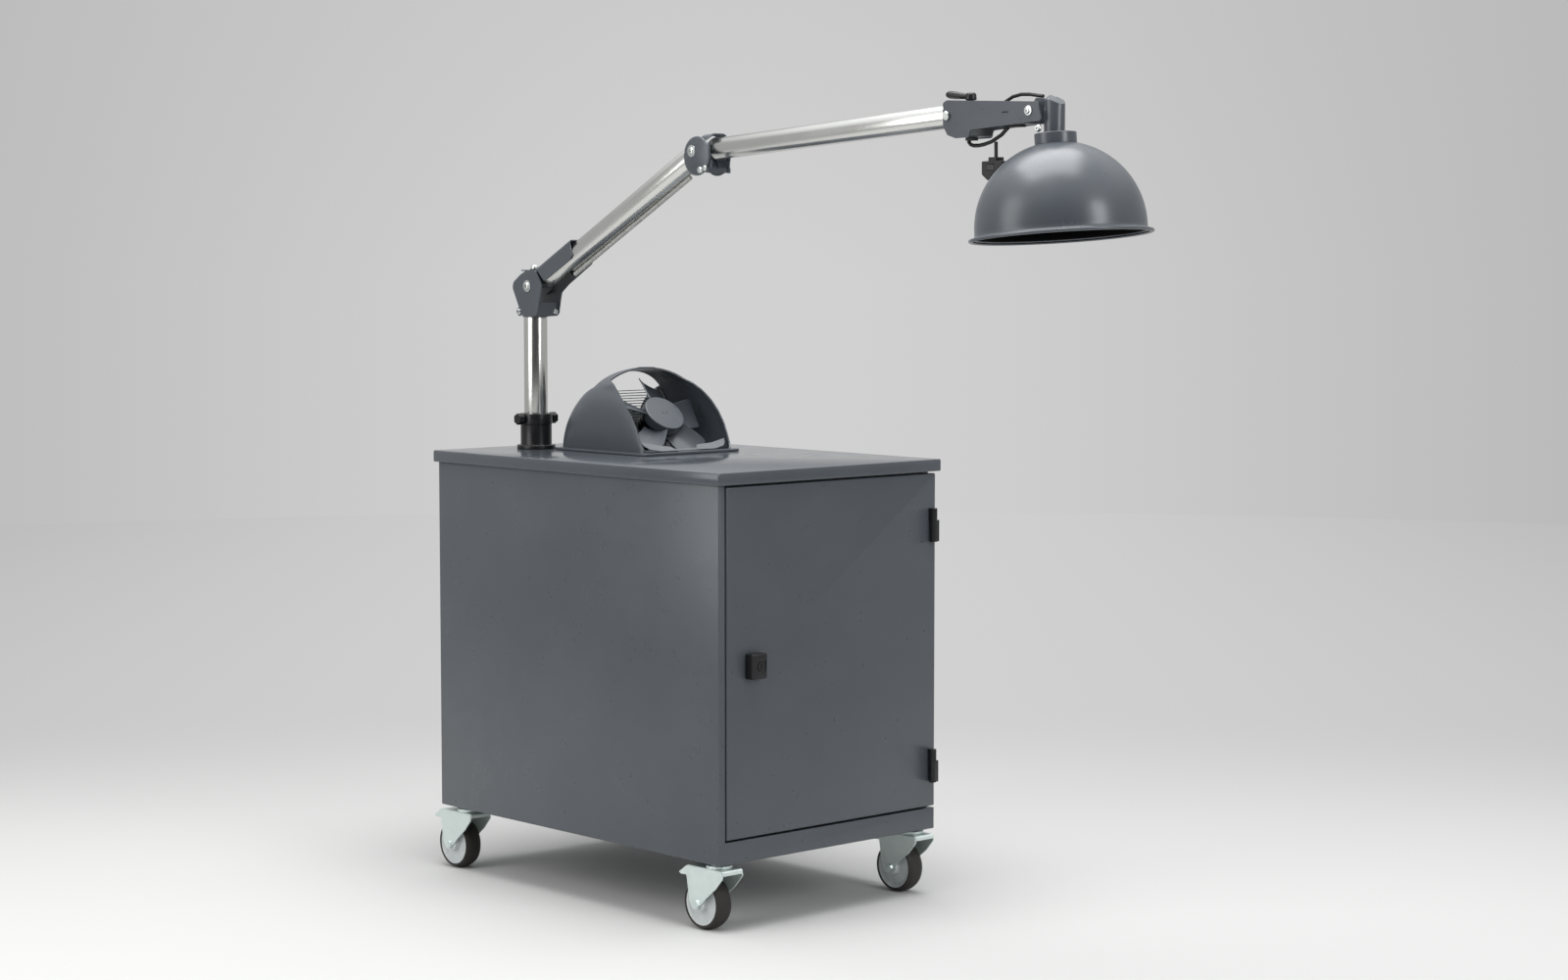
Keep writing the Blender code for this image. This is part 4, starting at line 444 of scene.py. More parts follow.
fit(eased(cowl, 0.0006, 2, 50), "cabinet", slate, "fan_cowl")

flange = bmesh.new()
bmesh.ops.create_circle(flange, segments=160, radius=1)
inner_rim = list(flange.edges)
for vert in flange.verts:
    angle = math.atan2(vert.co.y, vert.co.x)
    vert.co = squared(angle, cowl_half - flange_weld, cowl_foot_corner)
grown = bmesh.ops.extrude_edge_only(flange, edges=inner_rim)["geom"]
for vert in of_kind(grown, bmesh.types.BMVert):
    angle = math.atan2(vert.co.y / cowl_depth_share, vert.co.x)
    vert.co = squared(angle, flange_half, flange_corner)
bmesh.ops.translate(flange, vec=cowl_place, verts=flange.verts)
bmesh.ops.recalc_face_normals(flange, faces=flange.faces)
if next(iter(flange.faces)).normal.z > 0:
    bmesh.ops.reverse_faces(flange, faces=flange.faces)
flange = as_piece("cowl_flange", flange, 40)
plate = flange.modifiers.new("plate", "SOLIDIFY")
plate.thickness = flange_sheet
plate.offset = -1
fit(eased(flange, 0.0014, 3), "cabinet", slate)

# Sill: a cut plate of the same sheet, welded across the foot of the mouth. Its coat is
# paler, and satin where hands have rubbed it.

rubbed_slate = powder("rubbed_slate_coat", (0.11, 0.12, 0.13), (0.18, 0.19, 0.20), 0.30, 0.40)
dress("cowl_sill", "cabinet", rubbed_slate, 0.0006)

# Fan: a spun hub cup with five twisted blades riveted to it, all coated slate, on the
# shaft of a small finned motor. A galvanised bar across the lid's hole holds the motor.

fan_centre = Vector((0.0285, 0.488245, 0.943346))
fan_lean = math.radians(-45)
hub_radius = 0.044
hub_depth = 0.020
hub_wall = 0.003
hub_rim = 0.0025
blade_count = 5
first_blade = math.radians(-6)
blade_tip = 0.101
blade_plane = 0.0175
blade_chords = (0.050, 0.066)
blade_pitches = (math.radians(-34), math.radians(-25))
blade_camber = 0.10
blade_sheet = 0.0022
blade_trim_start = 0.72
blade_trim = 0.055
dot_radius = 0.0022
dot_height = 0.0003
spin_merge = 0.000005


def spun(profile, steps):
    """A turned piece about Z: the profile is (radius, height) down its outer side."""
    shape = bmesh.new()
    verts = [shape.verts.new((radius, 0, height)) for radius, height in profile]
    edges = [shape.edges.new(pair) for pair in zip(verts, verts[1:])]
    bmesh.ops.spin(
        shape,
        geom=verts + edges,
        cent=(0, 0, 0),
        axis=(0, 0, 1),
        dvec=(0, 0, 0),
        angle=2 * math.pi,
        steps=steps,
        use_merge=True,
        use_duplicate=False,
    )
    bmesh.ops.remove_doubles(shape, verts=shape.verts, dist=spin_merge)
    bmesh.ops.recalc_face_normals(shape, faces=shape.faces)
    return shape


def softened(points, radius, steps=3):
    """A profile with each inner corner replaced by a small arc."""
    soft = [points[0]]
    for before, here, after in zip(points, points[1:], points[2:]):
        here, back, on = Vector(here), Vector(before), Vector(after)
        back_way, on_way = back - here, on - here
        reach = min(radius, back_way.length * 0.45, on_way.length * 0.45)
        start = here + back_way.normalized() * reach
        end = here + on_way.normalized() * reach
        for step in range(steps + 1):
            share = step / steps
            soft.append(tuple(start.lerp(here, share).lerp(here.lerp(end, share), share)))
    soft.append(points[-1])
    return soft


def stood(shape, place, lean=0.0, axis="Z"):
    """Turns a shape from Z to another axis, leans it about X and moves it to its place."""
    turns = {
        "Z": Matrix.Identity(4),
        "-Y": Matrix.Rotation(math.pi / 2, 4, "X"),
        "X": Matrix.Rotation(math.pi / 2, 4, "Y"),
        "-X": Matrix.Rotation(-math.pi / 2, 4, "Y"),
    }
    matrix = Matrix.Translation(place) @ Matrix.Rotation(lean, 4, "X") @ turns[axis]
    bmesh.ops.transform(shape, matrix=matrix, verts=shape.verts)
    return shape


def put_together(*shapes):
    """Several shapes as one, each kept closed by itself."""
    whole = shapes[0]
    for shape in shapes[1:]:
        mesh = bpy.data.meshes.new("loose")
        shape.to_mesh(mesh)
        shape.free()
        whole.from_mesh(mesh)
        bpy.data.meshes.remove(mesh)
    return whole


cup = softened(
    [
        (0, 0),
        (hub_radius, 0),
        (hub_radius, -hub_depth),
        (hub_radius - hub_wall, -hub_depth),
        (hub_radius - hub_wall, -hub_wall),
        (0, -hub_wall),
    ],
    hub_rim,
    5,
)
hub = stood(spun(cup, 96), fan_centre, fan_lean, "-Y")


def make_blade(number):
    """A bowed blade: a grid bent and twisted about the reach from the hub."""
    root = hub_radius - hub_wall
    blade = bmesh.new()
    bmesh.ops.create_grid(blade, x_segments=22, y_segments=14, size=0.5)
    for vert in blade.verts:
        out, along = vert.co.x + 0.5, vert.co.y
        trim = max(0.0, (out - blade_trim_start) / (1 - blade_trim_start))
        ease = 0.5 - blade_trim * trim**2
        along = max(-ease, min(ease, along))
        chord = blade_chords[0] + (blade_chords[1] - blade_chords[0]) * out
        pitch = blade_pitches[0] + (blade_pitches[1] - blade_pitches[0]) * out
        bow = blade_camber * chord * (1 - (2 * along) ** 2)
        z = along * chord * math.cos(pitch) - bow * math.sin(pitch)
        y = along * chord * math.sin(pitch) + bow * math.cos(pitch)
        radius = root + (blade_tip - root) * out
        vert.co = Vector((math.sqrt(max(radius**2 - z**2, root**2 / 4)), blade_plane + y, z))
    turn = Matrix.Rotation(first_blade + 2 * math.pi * number / blade_count, 4, "Y")
    bmesh.ops.transform(blade, matrix=turn, verts=blade.verts)
    bmesh.ops.recalc_face_normals(blade, faces=blade.faces)
    bmesh.ops.solidify(blade, geom=list(blade.faces), thickness=blade_sheet)
    return stood(blade, fan_centre, fan_lean)


dots = []
for side in (-1, 1):
    dot = spun([(0, dot_height), (dot_radius * 0.8, dot_height), (dot_radius, 0)], 20)
    bmesh.ops.translate(dot, vec=(side * dot_radius * 2.2, 0, 0), verts=dot.verts)
    dots.append(stood(dot, fan_centre, fan_lean, "-Y"))

blades = [make_blade(number) for number in range(blade_count)]
fan = as_piece("fan_wheel", put_together(hub, *blades), 45)
fit(eased(fan, 0.0004, 2, 50), "fan", slate, "fan_impeller")
fit(as_piece("hub_screws", put_together(*dots)), "fan", satin_black)
dress("fan_motor", "cabinet", satin_black, 0.0005)
dress("fan_bracket", "cabinet", galvanised, 0.0005)

# Wire guard: thin bright wires welded across the window to two uprights that follow the
# cowl's walls, so that nothing falls on the fan from behind.

guard_y = 0.064
guard_low = 0.055
guard_high = 0.120
guard_wire = 0.0010
guard_upright = 0.0016
guard_pitch = 0.0054
guard_room = 0.0051

bright_wire = Finish("bright_drawn_wire", "stainless", {"Metallic": 1.0})
drawn = bright_wire.noise(bright_wire.place(stretch=(0.2, 1, 1)), scale=900.0)
bright_wire.set(
    Base_Color=bright_wire.between(drawn, (0.50, 0.51, 0.50, 1), (0.66, 0.67, 0.66, 1)),
    Roughness=bright_wire.range(drawn, 0.20, 0.36),
)


def guard_end(side, step):
    """A wire's end: on the cowl's inner face at the guard's depth, less some room."""
    height = guard_low + guard_pitch * step
    half = dome_half(height + guard_room * 0.4)
    power = dome_corner(height)
    along = guard_y / cowl_depth_share
    half = max(half**power - along**power, 0.0) ** (1 / power) - guard_room
    return cowl_place + Vector((0, guard_y, 0)) + Vector((side * half, 0, height))


def rod(start, end, radius):
    """A straight round bar between two points."""
    shape = bmesh.new()
    bmesh.ops.create_cone(
        shape,
        cap_ends=True,
        segments=12,
        radius1=radius,
        radius2=radius,
        depth=(end - start).length,
    )
    turn = Vector((0, 0, 1)).rotation_difference(end - start).to_matrix().to_4x4()
    matrix = Matrix.Translation((start + end) / 2) @ turn
    bmesh.ops.transform(shape, matrix=matrix, verts=shape.verts)
    return shape


wire_count = int((guard_high - guard_low) / guard_pitch) + 1
guard = [rod(guard_end(-1, step), guard_end(1, step), guard_wire) for step in range(wire_count)]
for side in (-1, 1):
    for step in range(wire_count - 1):
        guard.append(rod(guard_end(side, step), guard_end(side, step + 1), guard_upright))
fit(as_piece("window_guard", put_together(*guard)), "cabinet", bright_wire, "wire_guard")

# Mast collar: a turned black socket bolted to the lid by its flange, with a clamp ring.
# Two lobed plastic knobs press their screws on the mast and hold its swivel.

mast_foot = Vector((-0.1025, 0.744756, 0.8638))
gap = 0.0003
mast_radius = 0.02415
collar_bore = 0.02475
collar_flange = 0.0395
collar_flange_height = 0.008
collar_radius = 0.032
collar_height = 0.0515
ring_radius = 0.0335
ring_height = 0.021
ring_slope = 0.0012

socket_profile = softened(
    [
        (collar_bore, collar_height + ring_height),
        (ring_radius, collar_height + ring_height),
        (ring_radius, collar_height),
        (collar_radius, collar_height - ring_slope),
        (collar_radius, collar_flange_height),
        (collar_flange, collar_flange_height),
        (collar_flange, 0),
        (collar_bore, 0),
        (collar_bore, collar_height + ring_height),
    ],
    0.0012,
)
collar = stood(spun(socket_profile, 96), mast_foot + Vector((0, 0, gap)))
fit(as_piece("mast_socket", collar, 35), "cabinet", satin_black, "mast_collar")
for side in ("left", "right"):
    dress(side + "_clamp_knob", side + "_knob", black_plastic, 0.0012, 3)

# Mast: a length of polished 48 mm stainless tube that stands in the collar. The polish
# runs along it, so it mirrors the room in long stripes.


def polished(name, lean, centre):
    """Polished tube: grinding lines along its own axis, under slow smears."""
    finish = Finish(name, "stainless", {"Metallic": 1.0})
    along_tube = finish.place((1, 1, 0.012), lean, tuple(centre))
    lines = finish.noise(along_tube, scale=700.0, detail=3.0, roughness=0.6)
    less_drawn = finish.place((1, 1, 0.25), lean, tuple(centre))
    smears = finish.noise(less_drawn, scale=26.0, detail=3.0, roughness=0.6)
    tone = lines * 0.6 + smears * 0.4
    rub = lines * 0.5 + smears * 0.5
    finish.set(
        Base_Color=finish.between(tone, (0.60, 0.60, 0.58, 1), (0.74, 0.74, 0.72, 1)),
        Roughness=finish.range(rub, 0.16, 0.26, start=0.35, end=0.65),
    )
    finish.ripple(lines, depth=0.00002, strength=0.35)
    return finish


tube_wall = 0.002


def pipe(length, radius):
    """A tube along Z from 0, its ends deburred."""
    bore = radius - tube_wall
    section = [(bore, length), (radius, length), (radius, 0), (bore, 0), (bore, length)]
    return spun(softened(section, 0.0004, 2), 96)


mast_bottom = 0.0046
mast_top = 0.2915
mast_length = mast_top - mast_bottom
mast_steel = polished("polished_mast_tube", 0.0, mast_foot)
mast = stood(pipe(mast_length, mast_radius), mast_foot + Vector((0, 0, mast_bottom)))
fit(as_piece("mast_pipe", mast, 35), "mast", mast_steel, "mast_tube")

# Elbow 1: the yoke is folded sheet welded round a sleeve on the mast. A through bolt with
# broad bright washers clamps the saddle between its cheeks and sets the arm's drag. Screws
# in two round ears and a nut on a seal close the yoke.

elbow_1 = Vector((-0.1025, 0.734756, 1.1985))
elbow_1_half = 0.0291
shank = 0.004
washer_sheet = 0.0015
# The way that each ear faces, and its place from the elbow's axis.
ear_places = (("-X", (-0.0263, 0.0265, -0.0522)), ("-Y", (0.0205, -0.0262, -0.0523)))
ear_radius = 0.0092
ear_height = 0.0026
nut_place = elbow_1 + Vector((0, 0.012, 0.0345))
seal_place = elbow_1 + Vector((0, 0.012, 0.0315))
seal_bore = 0.0062
seal_radius = 0.0095
seal_height = 0.0034


def plated(name, dark, light, low_sheen, high_sheen, metal):
    """Zinc plate: a pale metal with soft clouds from the bath."""
    finish = Finish(name, "zinc", {"Metallic": metal})
    here = finish.place()
    clouds = finish.noise(here, scale=55.0, detail=4.0, roughness=0.6)
    finish.set(
        Base_Color=finish.between(clouds, (*dark, 1), (*light, 1)),
        Roughness=finish.range(clouds, low_sheen, high_sheen, start=0.3, end=0.7),
    )
    finish.ripple(finish.noise(here, scale=350.0), depth=0.00005, strength=0.4)
    return finish


zinc = plated("bright_zinc_plate", (0.56, 0.60, 0.59), (0.74, 0.76, 0.74), 0.20, 0.34, 1.0)


def bolt(half, washer, head, height, socket):
    """A bolt along Z: shank, a washer and a domed head with a hexagon socket at each end."""
    end = [
        (0, half + height * 0.35),
        (socket, half + height * 0.35),
        (socket, half + height),
        (head * 0.70, half + height * 0.97),
        (head * 0.90, half + height * 0.72),
        (head, half + washer_sheet + 0.0001),
        (washer * 0.96, half + washer_sheet),
        (washer, half + washer_sheet - 0.0004),
        (washer, half + 0.0002),
        (washer * 0.96, half),
        (shank, half),
    ]
    shape = spun(end + [(radius, -level) for radius, level in reversed(end)], 48)
    for vert in shape.verts:
        radius = math.hypot(vert.co.x, vert.co.y)
        if abs(radius - socket) < merge_distance / 2:
            turn = math.atan2(vert.co.y, vert.co.x) % (math.pi / 3) - math.pi / 6
            flat = math.cos(math.pi / 6) / math.cos(turn)
            vert.co = Vector((vert.co.x * flat, vert.co.y * flat, vert.co.z))
    return shape


dress("mast_yoke", "mast", slate, 0.0006, 3)
elbow_bolt = bolt(elbow_1_half, washer=0.0118, head=0.0080, height=0.0048, socket=0.0030)
elbow_bolt = stood(elbow_bolt, elbow_1, 0.0, "X")
fit(as_piece("elbow_1_through_bolt", elbow_bolt, 35), "mast", zinc, "elbow_1_bolt")

screw_outline = [
    (0, 0.0052),
    (0.0022, 0.0052),
    (0.0022, 0.0070),
    (0.0044, 0.0070),
    (0.0062, 0.0052),
    (0.0066, 0.0027),
]
ear_outline = [
    (0, ear_height),
    (ear_radius - 0.0006, ear_height),
    (ear_radius, ear_height - 0.0006),
    (ear_radius, 0),
    (0, 0),
]
yoke_screws = []
yoke_ears = []
for way, spot in ear_places:
    place = elbow_1 + Vector(spot)
    yoke_ears.append(stood(spun(ear_outline, 40), place, 0.0, way))
    yoke_screws.append(stood(spun(screw_outline, 32), place, 0.0, way))
nut_outline = [
    (0, 0.0092),
    (0.0040, 0.0088),
    (0.0070, 0.0062),
    (0.0080, 0.0022),
    (0.0080, 0),
    (0, 0),
]
yoke_screws.append(stood(spun(softened(nut_outline, 0.0010, 2), 32), nut_place))
fit(as_piece("yoke_screw_heads", put_together(*yoke_screws), 35), "mast", zinc)
fit(as_piece("yoke_ears", put_together(*yoke_ears), 35), "mast", slate)
seal_outline = [
    (seal_bore, 0),
    (seal_radius, 0),
    (seal_radius, seal_height),
    (seal_bore, seal_height),
    (seal_bore, 0),
]
seal_ring = stood(spun(seal_outline, 32), seal_place)
fit(as_piece("yoke_nut_seal", seal_ring, 35), "mast", satin_black)

# Lower tube: the same polished tube in a folded saddle that turns on elbow 1, with a lip
# below its mouth, lacquered black as painted shade for the shadow under the tube. The switch
# cable runs below the tube in a thin corrugated conduit.

lower_lean = math.radians(-26.67)
lower_arm = 0.5845
tube_start = 0.048
tube_stop = 0.032
tube_drop = 0.0045
tube_rise = 0.005
tube_tilt = math.atan2(tube_drop + tube_rise, lower_arm)
lip_half = 0.009
# Corners of the lip: how far along the arm, and how high.
lip_outline = (
    (0.050, -0.0262),
    (0.118, -0.0270),
    (0.118, -0.0330),
    (0.106, -0.0340),
    (0.054, -0.0425),
    (0.048, -0.0400),
)
conduit_radius = 0.0045
conduit_start = 0.120
conduit_stop = 0.055
conduit_pitch = 0.0032
conduit_groove = 0.84
# Corners of one rib, as shares of the pitch and of the radius.
conduit_rib = ((0.10, 1), (0.50, 1), (0.62, conduit_groove), (0.96, conduit_groove))


def in_frame(centre, lean, point):
    """A point given in an arm's own leaning frame, in the scene's frame."""
    return centre + Matrix.Rotation(lean, 3, "X") @ Vector(point)


lower_steel = polished("polished_lower_tube", lower_lean + math.pi / 2 - tube_tilt, elbow_1)
lower = stood(
    pipe(lower_arm - tube_start - tube_stop, mast_radius),
    in_frame(elbow_1, lower_lean, (0, -tube_start, -tube_drop)),
    lower_lean - tube_tilt,
    "-Y",
)
fit(as_piece("lower_pipe", lower, 35), "lower_arm", lower_steel, "lower_tube")
dress("tube_saddle", "lower_arm", slate, 0.0005, 3)

# Painted shade: the lip is satin black because the strip below the tube lies in shadow.
painted_shade_lip = bmesh.new()
lip_face = painted_shade_lip.faces.new([painted_shade_lip.verts.new((-lip_half, -along, up)) for along, up in lip_outline])
grown = bmesh.ops.extrude_face_region(painted_shade_lip, geom=[lip_face])["geom"]
far_side = of_kind(grown, bmesh.types.BMVert)
bmesh.ops.translate(painted_shade_lip, vec=(lip_half * 2, 0, 0), verts=far_side)
bmesh.ops.recalc_face_normals(painted_shade_lip, faces=painted_shade_lip.faces)
painted_shade_lip = as_piece("saddle_painted_shade_lip", stood(painted_shade_lip, elbow_1, lower_lean), 30)
fit(eased(painted_shade_lip, 0.0008), "lower_arm", satin_black)


def below_tube(reach):
    """A point on the conduit's axis, at a reach along the lower arm."""
    drop = -tube_drop - mast_radius - conduit_radius - gap
    height = drop + (reach - tube_start) * math.tan(tube_tilt)
    return in_frame(elbow_1, lower_lean, (0, -reach, height))


first = below_tube(conduit_start)
last = below_tube(lower_arm - conduit_stop)
rib_count = int((last - first).length / conduit_pitch)
rings = []
for step in range(rib_count):
    for share, width in conduit_rib:
        rings.append((conduit_radius * width, conduit_pitch * step + conduit_pitch * share))
conduit = spun([(0, 0)] + rings + [(0, conduit_pitch * rib_count)], 20)
turn = Vector((0, 0, 1)).rotation_difference(last - first).to_matrix().to_4x4()
bmesh.ops.transform(conduit, matrix=Matrix.Translation(first) @ turn, verts=conduit.verts)
conduit_tone = (0.30, 0.30, 0.29)
conduit_plastic = painted(
    "grey_conduit_plastic", conduit_tone, 0.30, 0.42, "black_plastic", grain=700.0, depth=0.0001
)
fit(as_piece("corrugated_conduit", conduit, 30), "lower_arm", conduit_plastic, "cable_conduit")

# Elbow 2 housing: a round plate each side of the lower tube's end, the left one pressed to
# a crown and both coated slate. Two ear bolts hold them on the tube, and a through bolt
# with bright washers carries the upper tube's collar.

elbow_2 = Vector((-0.1025, 0.212443, 1.460853))
elbow_2_half = 0.03255
washer_room = 0.0002
plate_radius = 0.0375
plate_centre = Vector((0, -0.0080, -0.0092))
plate_inner = 0.02475
plate_sheet = 0.0030
crown_height = 0.0052
crown_steps = 14
crown_share = 0.94
crown_power = 1.7
crown_step = 0.0006
ear_spot = Vector((0, -0.02107, -0.0365))

crown = [(0, plate_sheet + crown_height)]
for step in range(1, crown_steps + 1):
    share = step / crown_steps * crown_share
    rise = crown_height * (1 - (share / crown_share) ** crown_power)
    crown.append((plate_radius * share, plate_sheet + rise + crown_step))
crown += [
    (plate_radius * 0.985, plate_sheet * 0.9),
    (plate_radius, plate_sheet * 0.6),
    (plate_radius, 0),
    (0, 0),
]
flat = [(0, plate_sheet), (plate_radius, plate_sheet), (plate_radius, 0), (0, 0)]
flat = softened(flat, 0.0006, 2)
near_place = elbow_2 + plate_centre + Vector((-plate_inner, 0, 0))
far_place = elbow_2 + plate_centre + Vector((plate_inner, 0, 0))
near = stood(spun(crown, 96), near_place, 0.0, "-X")
far = stood(spun(flat, 96), far_place, 0.0, "X")
housing = as_piece("elbow_2_plates", put_together(near, far), 35)
fit(housing, "lower_arm", slate, "elbow_2_housing")

ear_head = [(0, 0.0050), (0.0050, 0.0050), (0.0062, 0.0040), (0.0068, 0.0024), (0.0068, 0), (0, 0)]
ear_bolts = []
for side, way in ((-1, "-X"), (1, "X")):
    place = elbow_2 + ear_spot + Vector((side * (plate_inner + plate_sheet), 0, 0))
    ear_bolts.append(stood(spun(softened(ear_head, 0.0008, 2), 32), place, 0.0, way))
fit(as_piece("elbow_2_ear_bolts", put_together(*ear_bolts), 35), "lower_arm", zinc)
pivot_half = elbow_2_half + washer_room
pivot_bolt = bolt(pivot_half, washer=0.0112, head=0.0068, height=0.0040, socket=0.0028)
pivot_bolt = stood(pivot_bolt, elbow_2, lower_lean, "X")
fit(as_piece("elbow_2_through_bolt", pivot_bolt, 35), "lower_arm", zinc, "elbow_2_bolt")

# Upper tube: polished 42 mm tube, held by a folded collar between the housing's plates and
# pinned in the wrist channel at its front end. A bolt through its ears clamps the collar.

upper_lean = math.radians(-3.74)
upper_arm = 0.6827
upper_start = 0.040
upper_overrun = 0.008
upper_rise = 0.0015
upper_radius = 0.02105
# The collar's band is drawn in to this share of its length, past where its ears end.
collar_band = 0.016
collar_band_share = 0.35
# The ears hang below this level, and the bolt's head sits this far in from their corner.
ear_level = -0.024
ear_inset = 0.0105
ear_band = 0.004
ear_rise = 0.009

upper_steel = polished("polished_upper_tube", upper_lean + math.pi / 2, elbow_2)
upper = stood(
    pipe(upper_arm - upper_start + upper_overrun, upper_radius),
    in_frame(elbow_2, upper_lean, (0, -upper_start, upper_rise)),
    upper_lean,
    "-Y",
)
fit(as_piece("upper_pipe", upper, 35), "upper_arm", upper_steel, "upper_tube")
band = pressed("upper_collar", 0.0005, 3)
into_frame = (Matrix.Translation(elbow_2) @ Matrix.Rotation(upper_lean, 4, "X")).inverted()
for vert in band.data.vertices:
    place = into_frame @ vert.co
    if place.y < -collar_band:
        place.y = -collar_band + (place.y + collar_band) * collar_band_share
        vert.co = into_frame.inverted() @ place
fit(band, "upper_arm", slate, "upper_collar")
ears = [vert.co.copy() for vert in band.data.vertices if (into_frame @ vert.co).z < ear_level]
ear_y = min(spot.y for spot in ears) + ear_inset
ear_x = min(spot.x for spot in ears if spot.y < ear_y + ear_band)
ear_z = min(spot.z for spot in ears) + ear_rise
collar_head = [(0, 0.0042), (0.0046, 0.0042), (0.0058, 0.0028), (0.0060, 0), (0, 0)]
collar_head = spun(softened(collar_head, 0.0008, 2), 32)
collar_head = stood(collar_head, Vector((ear_x, ear_y, ear_z)), 0.0, "-X")
fit(as_piece("collar_bolt_head", collar_head, 35), "upper_arm", zinc)

# Wrist channel: a long folded cheek plate each side of the tube's end, joined by webs.
# Two bright pins hold the tube and the hood's knuckle.

wrist_lean = math.radians(-0.83)
hood_tilt = Vector((-0.1025, -0.662903, 1.508197))
tilt_half = 0.0301

dress("wrist_channel", "wrist", slate, 0.0006, 3)
dress("wrist_pin", "wrist", zinc, 0.0006, 3)
tilt_bolt = bolt(tilt_half, washer=0.0084, head=0.0058, height=0.0048, socket=0.0021)
tilt_bolt = stood(tilt_bolt, hood_tilt, 0.0, "X")
fit(as_piece("tilt_through_bolt", tilt_bolt, 35), "wrist", zinc, "tilt_bolt")

# Clamp lever: a moulded black handle and hub on a screw that pinches the channel's top web
# and so holds the wrist. The handle rises a little towards its end.

lever_turn = Vector((-0.1025, -0.498419, 1.532157))
lever_rise = math.atan2(0.006, 0.050)
grip_height = 0.0064
grip = softened(
    [
        (0, -0.006),
        (0.0056, -0.006),
        (0.0048, 0.012),
        (0.0066, 0.034),
        (0.0070, 0.052),
        (0.0040, 0.0590),
        (0, 0.0590),
    ],
    0.004,
    4,
)
grip_lean = wrist_lean + lever_rise + math.pi
grip = stood(spun(grip, 40), lever_turn + Vector((0, 0, grip_height)), grip_lean, "-Y")
base = [(0, 0.0135), (0.0070, 0.0135), (0.0094, 0.0105), (0.0100, 0.0008), (0.0060, 0), (0, 0)]
base = stood(spun(softened(base, 0.0012), 40), lever_turn, wrist_lean)
lever = as_piece("clamp_lever_grip", put_together(grip, base), 35)
fit(lever, "lever", black_plastic, "clamp_lever")

# Loop handle: a bent 7 mm rod dipped in black plastic. The switch hangs beside it on a
# thin stem: a moulded box with a rocker that starts and stops the fan.

dress("loop_handle", "wrist", black_plastic, 0.0005, 2, 50)
dress("switch_housing", "wrist", black_plastic, 0.0009, 3)
dress("switch_rocker", "rocker", black_plastic, 0.0005, 2)

# Knuckle: a short upright cast post with an eye on the tilt bolt, its top cut on a slant at
# the front. The hood's rubber cable loops over from the channel into the knuckle.

slant = math.radians(30)
slant_start = 0.0195
post = pressed("hood_knuckle", 0.0050, 5)
shape = bmesh.new()
shape.from_mesh(post.data)
summit = max(vert.co.z for vert in shape.verts)
cut = bmesh.ops.bisect_plane(
    shape,
    geom=list(shape.verts) + list(shape.edges) + list(shape.faces),
    plane_co=(0, hood_tilt.y - slant_start, summit),
    plane_no=(0, -math.sin(slant), math.cos(slant)),
    clear_outer=True,
)["geom_cut"]
bmesh.ops.holes_fill(shape, edges=of_kind(cut, bmesh.types.BMEdge))
bmesh.ops.recalc_face_normals(shape, faces=shape.faces)
shape.to_mesh(post.data)
shape.free()
fit(post, "knuckle", slate, "hood_knuckle")
dress("cable_loop", "wrist", rubber, 0.0003, 2, 60)

# Hood: a spun aluminium dome, coated slate, with a flared rim that is rolled to a bead. A
# near-black sheet inside it is painted shade for its shadowed inside. It hangs on a turned
# collar that swivels below the knuckle.

hood_place = Vector((-0.1025, -0.697603, 1.472097))
hood_lean = math.radians(-5)
hood_radius = 0.147
hood_drop = 0.1635
hood_skirt = 0.0165
hood_wall = 0.0015
hood_lip = 0.011
hood_arc_steps = 40
bead_radius = 0.0029
bead_steps = 12
bead_start = math.radians(120)
bead_sweep = math.radians(240)
hood_collar_radius = 0.036
hood_collar_top = -0.0018
seat_steps = 8
seat_room = 0.0002
clamp_screw_spot = Vector((-0.0190, 0.0210, 0.0062))


def dome_arc(radius):
    """A quarter circle from the hood's crown to its skirt, as (radius, height)."""
    arc = []
    for step in range(hood_arc_steps + 1):
        angle = math.pi / 2 * step / hood_arc_steps
        arc.append((radius * math.sin(angle), radius * math.cos(angle) - hood_drop))
    return arc


rim = -hood_drop - hood_skirt
bead_across = hood_radius + hood_lip - bead_radius
bead_up = rim + bead_radius
bead = []
for step in range(bead_steps + 1):
    angle = bead_start - bead_sweep * step / bead_steps
    across, up = math.cos(angle), math.sin(angle)
    bead.append((bead_across + bead_radius * across, bead_up + bead_radius * up))
shoulder = [
    (hood_radius + 0.0002, rim + hood_skirt * 0.62),
    (hood_radius + 0.0016, rim + hood_skirt * 0.44),
    (hood_radius + 0.0042, rim + hood_skirt * 0.36),
]
under = [
    (hood_radius + 0.0040, rim + 0.0022),
    (hood_radius + 0.0010, rim + 0.0040),
    (hood_radius - hood_wall, rim + hood_skirt * 0.55),
]
inner = dome_arc(hood_radius - hood_wall)
dome = spun(dome_arc(hood_radius) + shoulder + bead + under + inner[::-1], 160)
fit(as_piece("hood_dome", stood(dome, hood_place, hood_lean), 50), "hood", slate, "hood")

# Painted shade: a near-black, almost unreflecting sheet lines the dome where its inside lies in
# shadow.
painted_shade_lining_radius = hood_radius - hood_wall - gap
painted_shade_lining = dome_arc(painted_shade_lining_radius)
painted_shade_lining.append((painted_shade_lining_radius, rim + hood_skirt * 0.5))
painted_shade_lining.append((hood_radius + 0.0030, rim + 0.0018))
painted_shade_lining = stood(spun(painted_shade_lining, 160), hood_place, hood_lean)
bmesh.ops.reverse_faces(painted_shade_lining, faces=painted_shade_lining.faces)
painted_shade_coat = powder("painted_shade_inner_coat", (0.001,) * 3, (0.002,) * 3, 0.60, 0.70)
painted_shade_coat.shader.inputs["Specular IOR Level"].default_value = 0.05
fit(as_piece("hood_painted_shade_lining", painted_shade_lining, 50), "hood", painted_shade_coat)

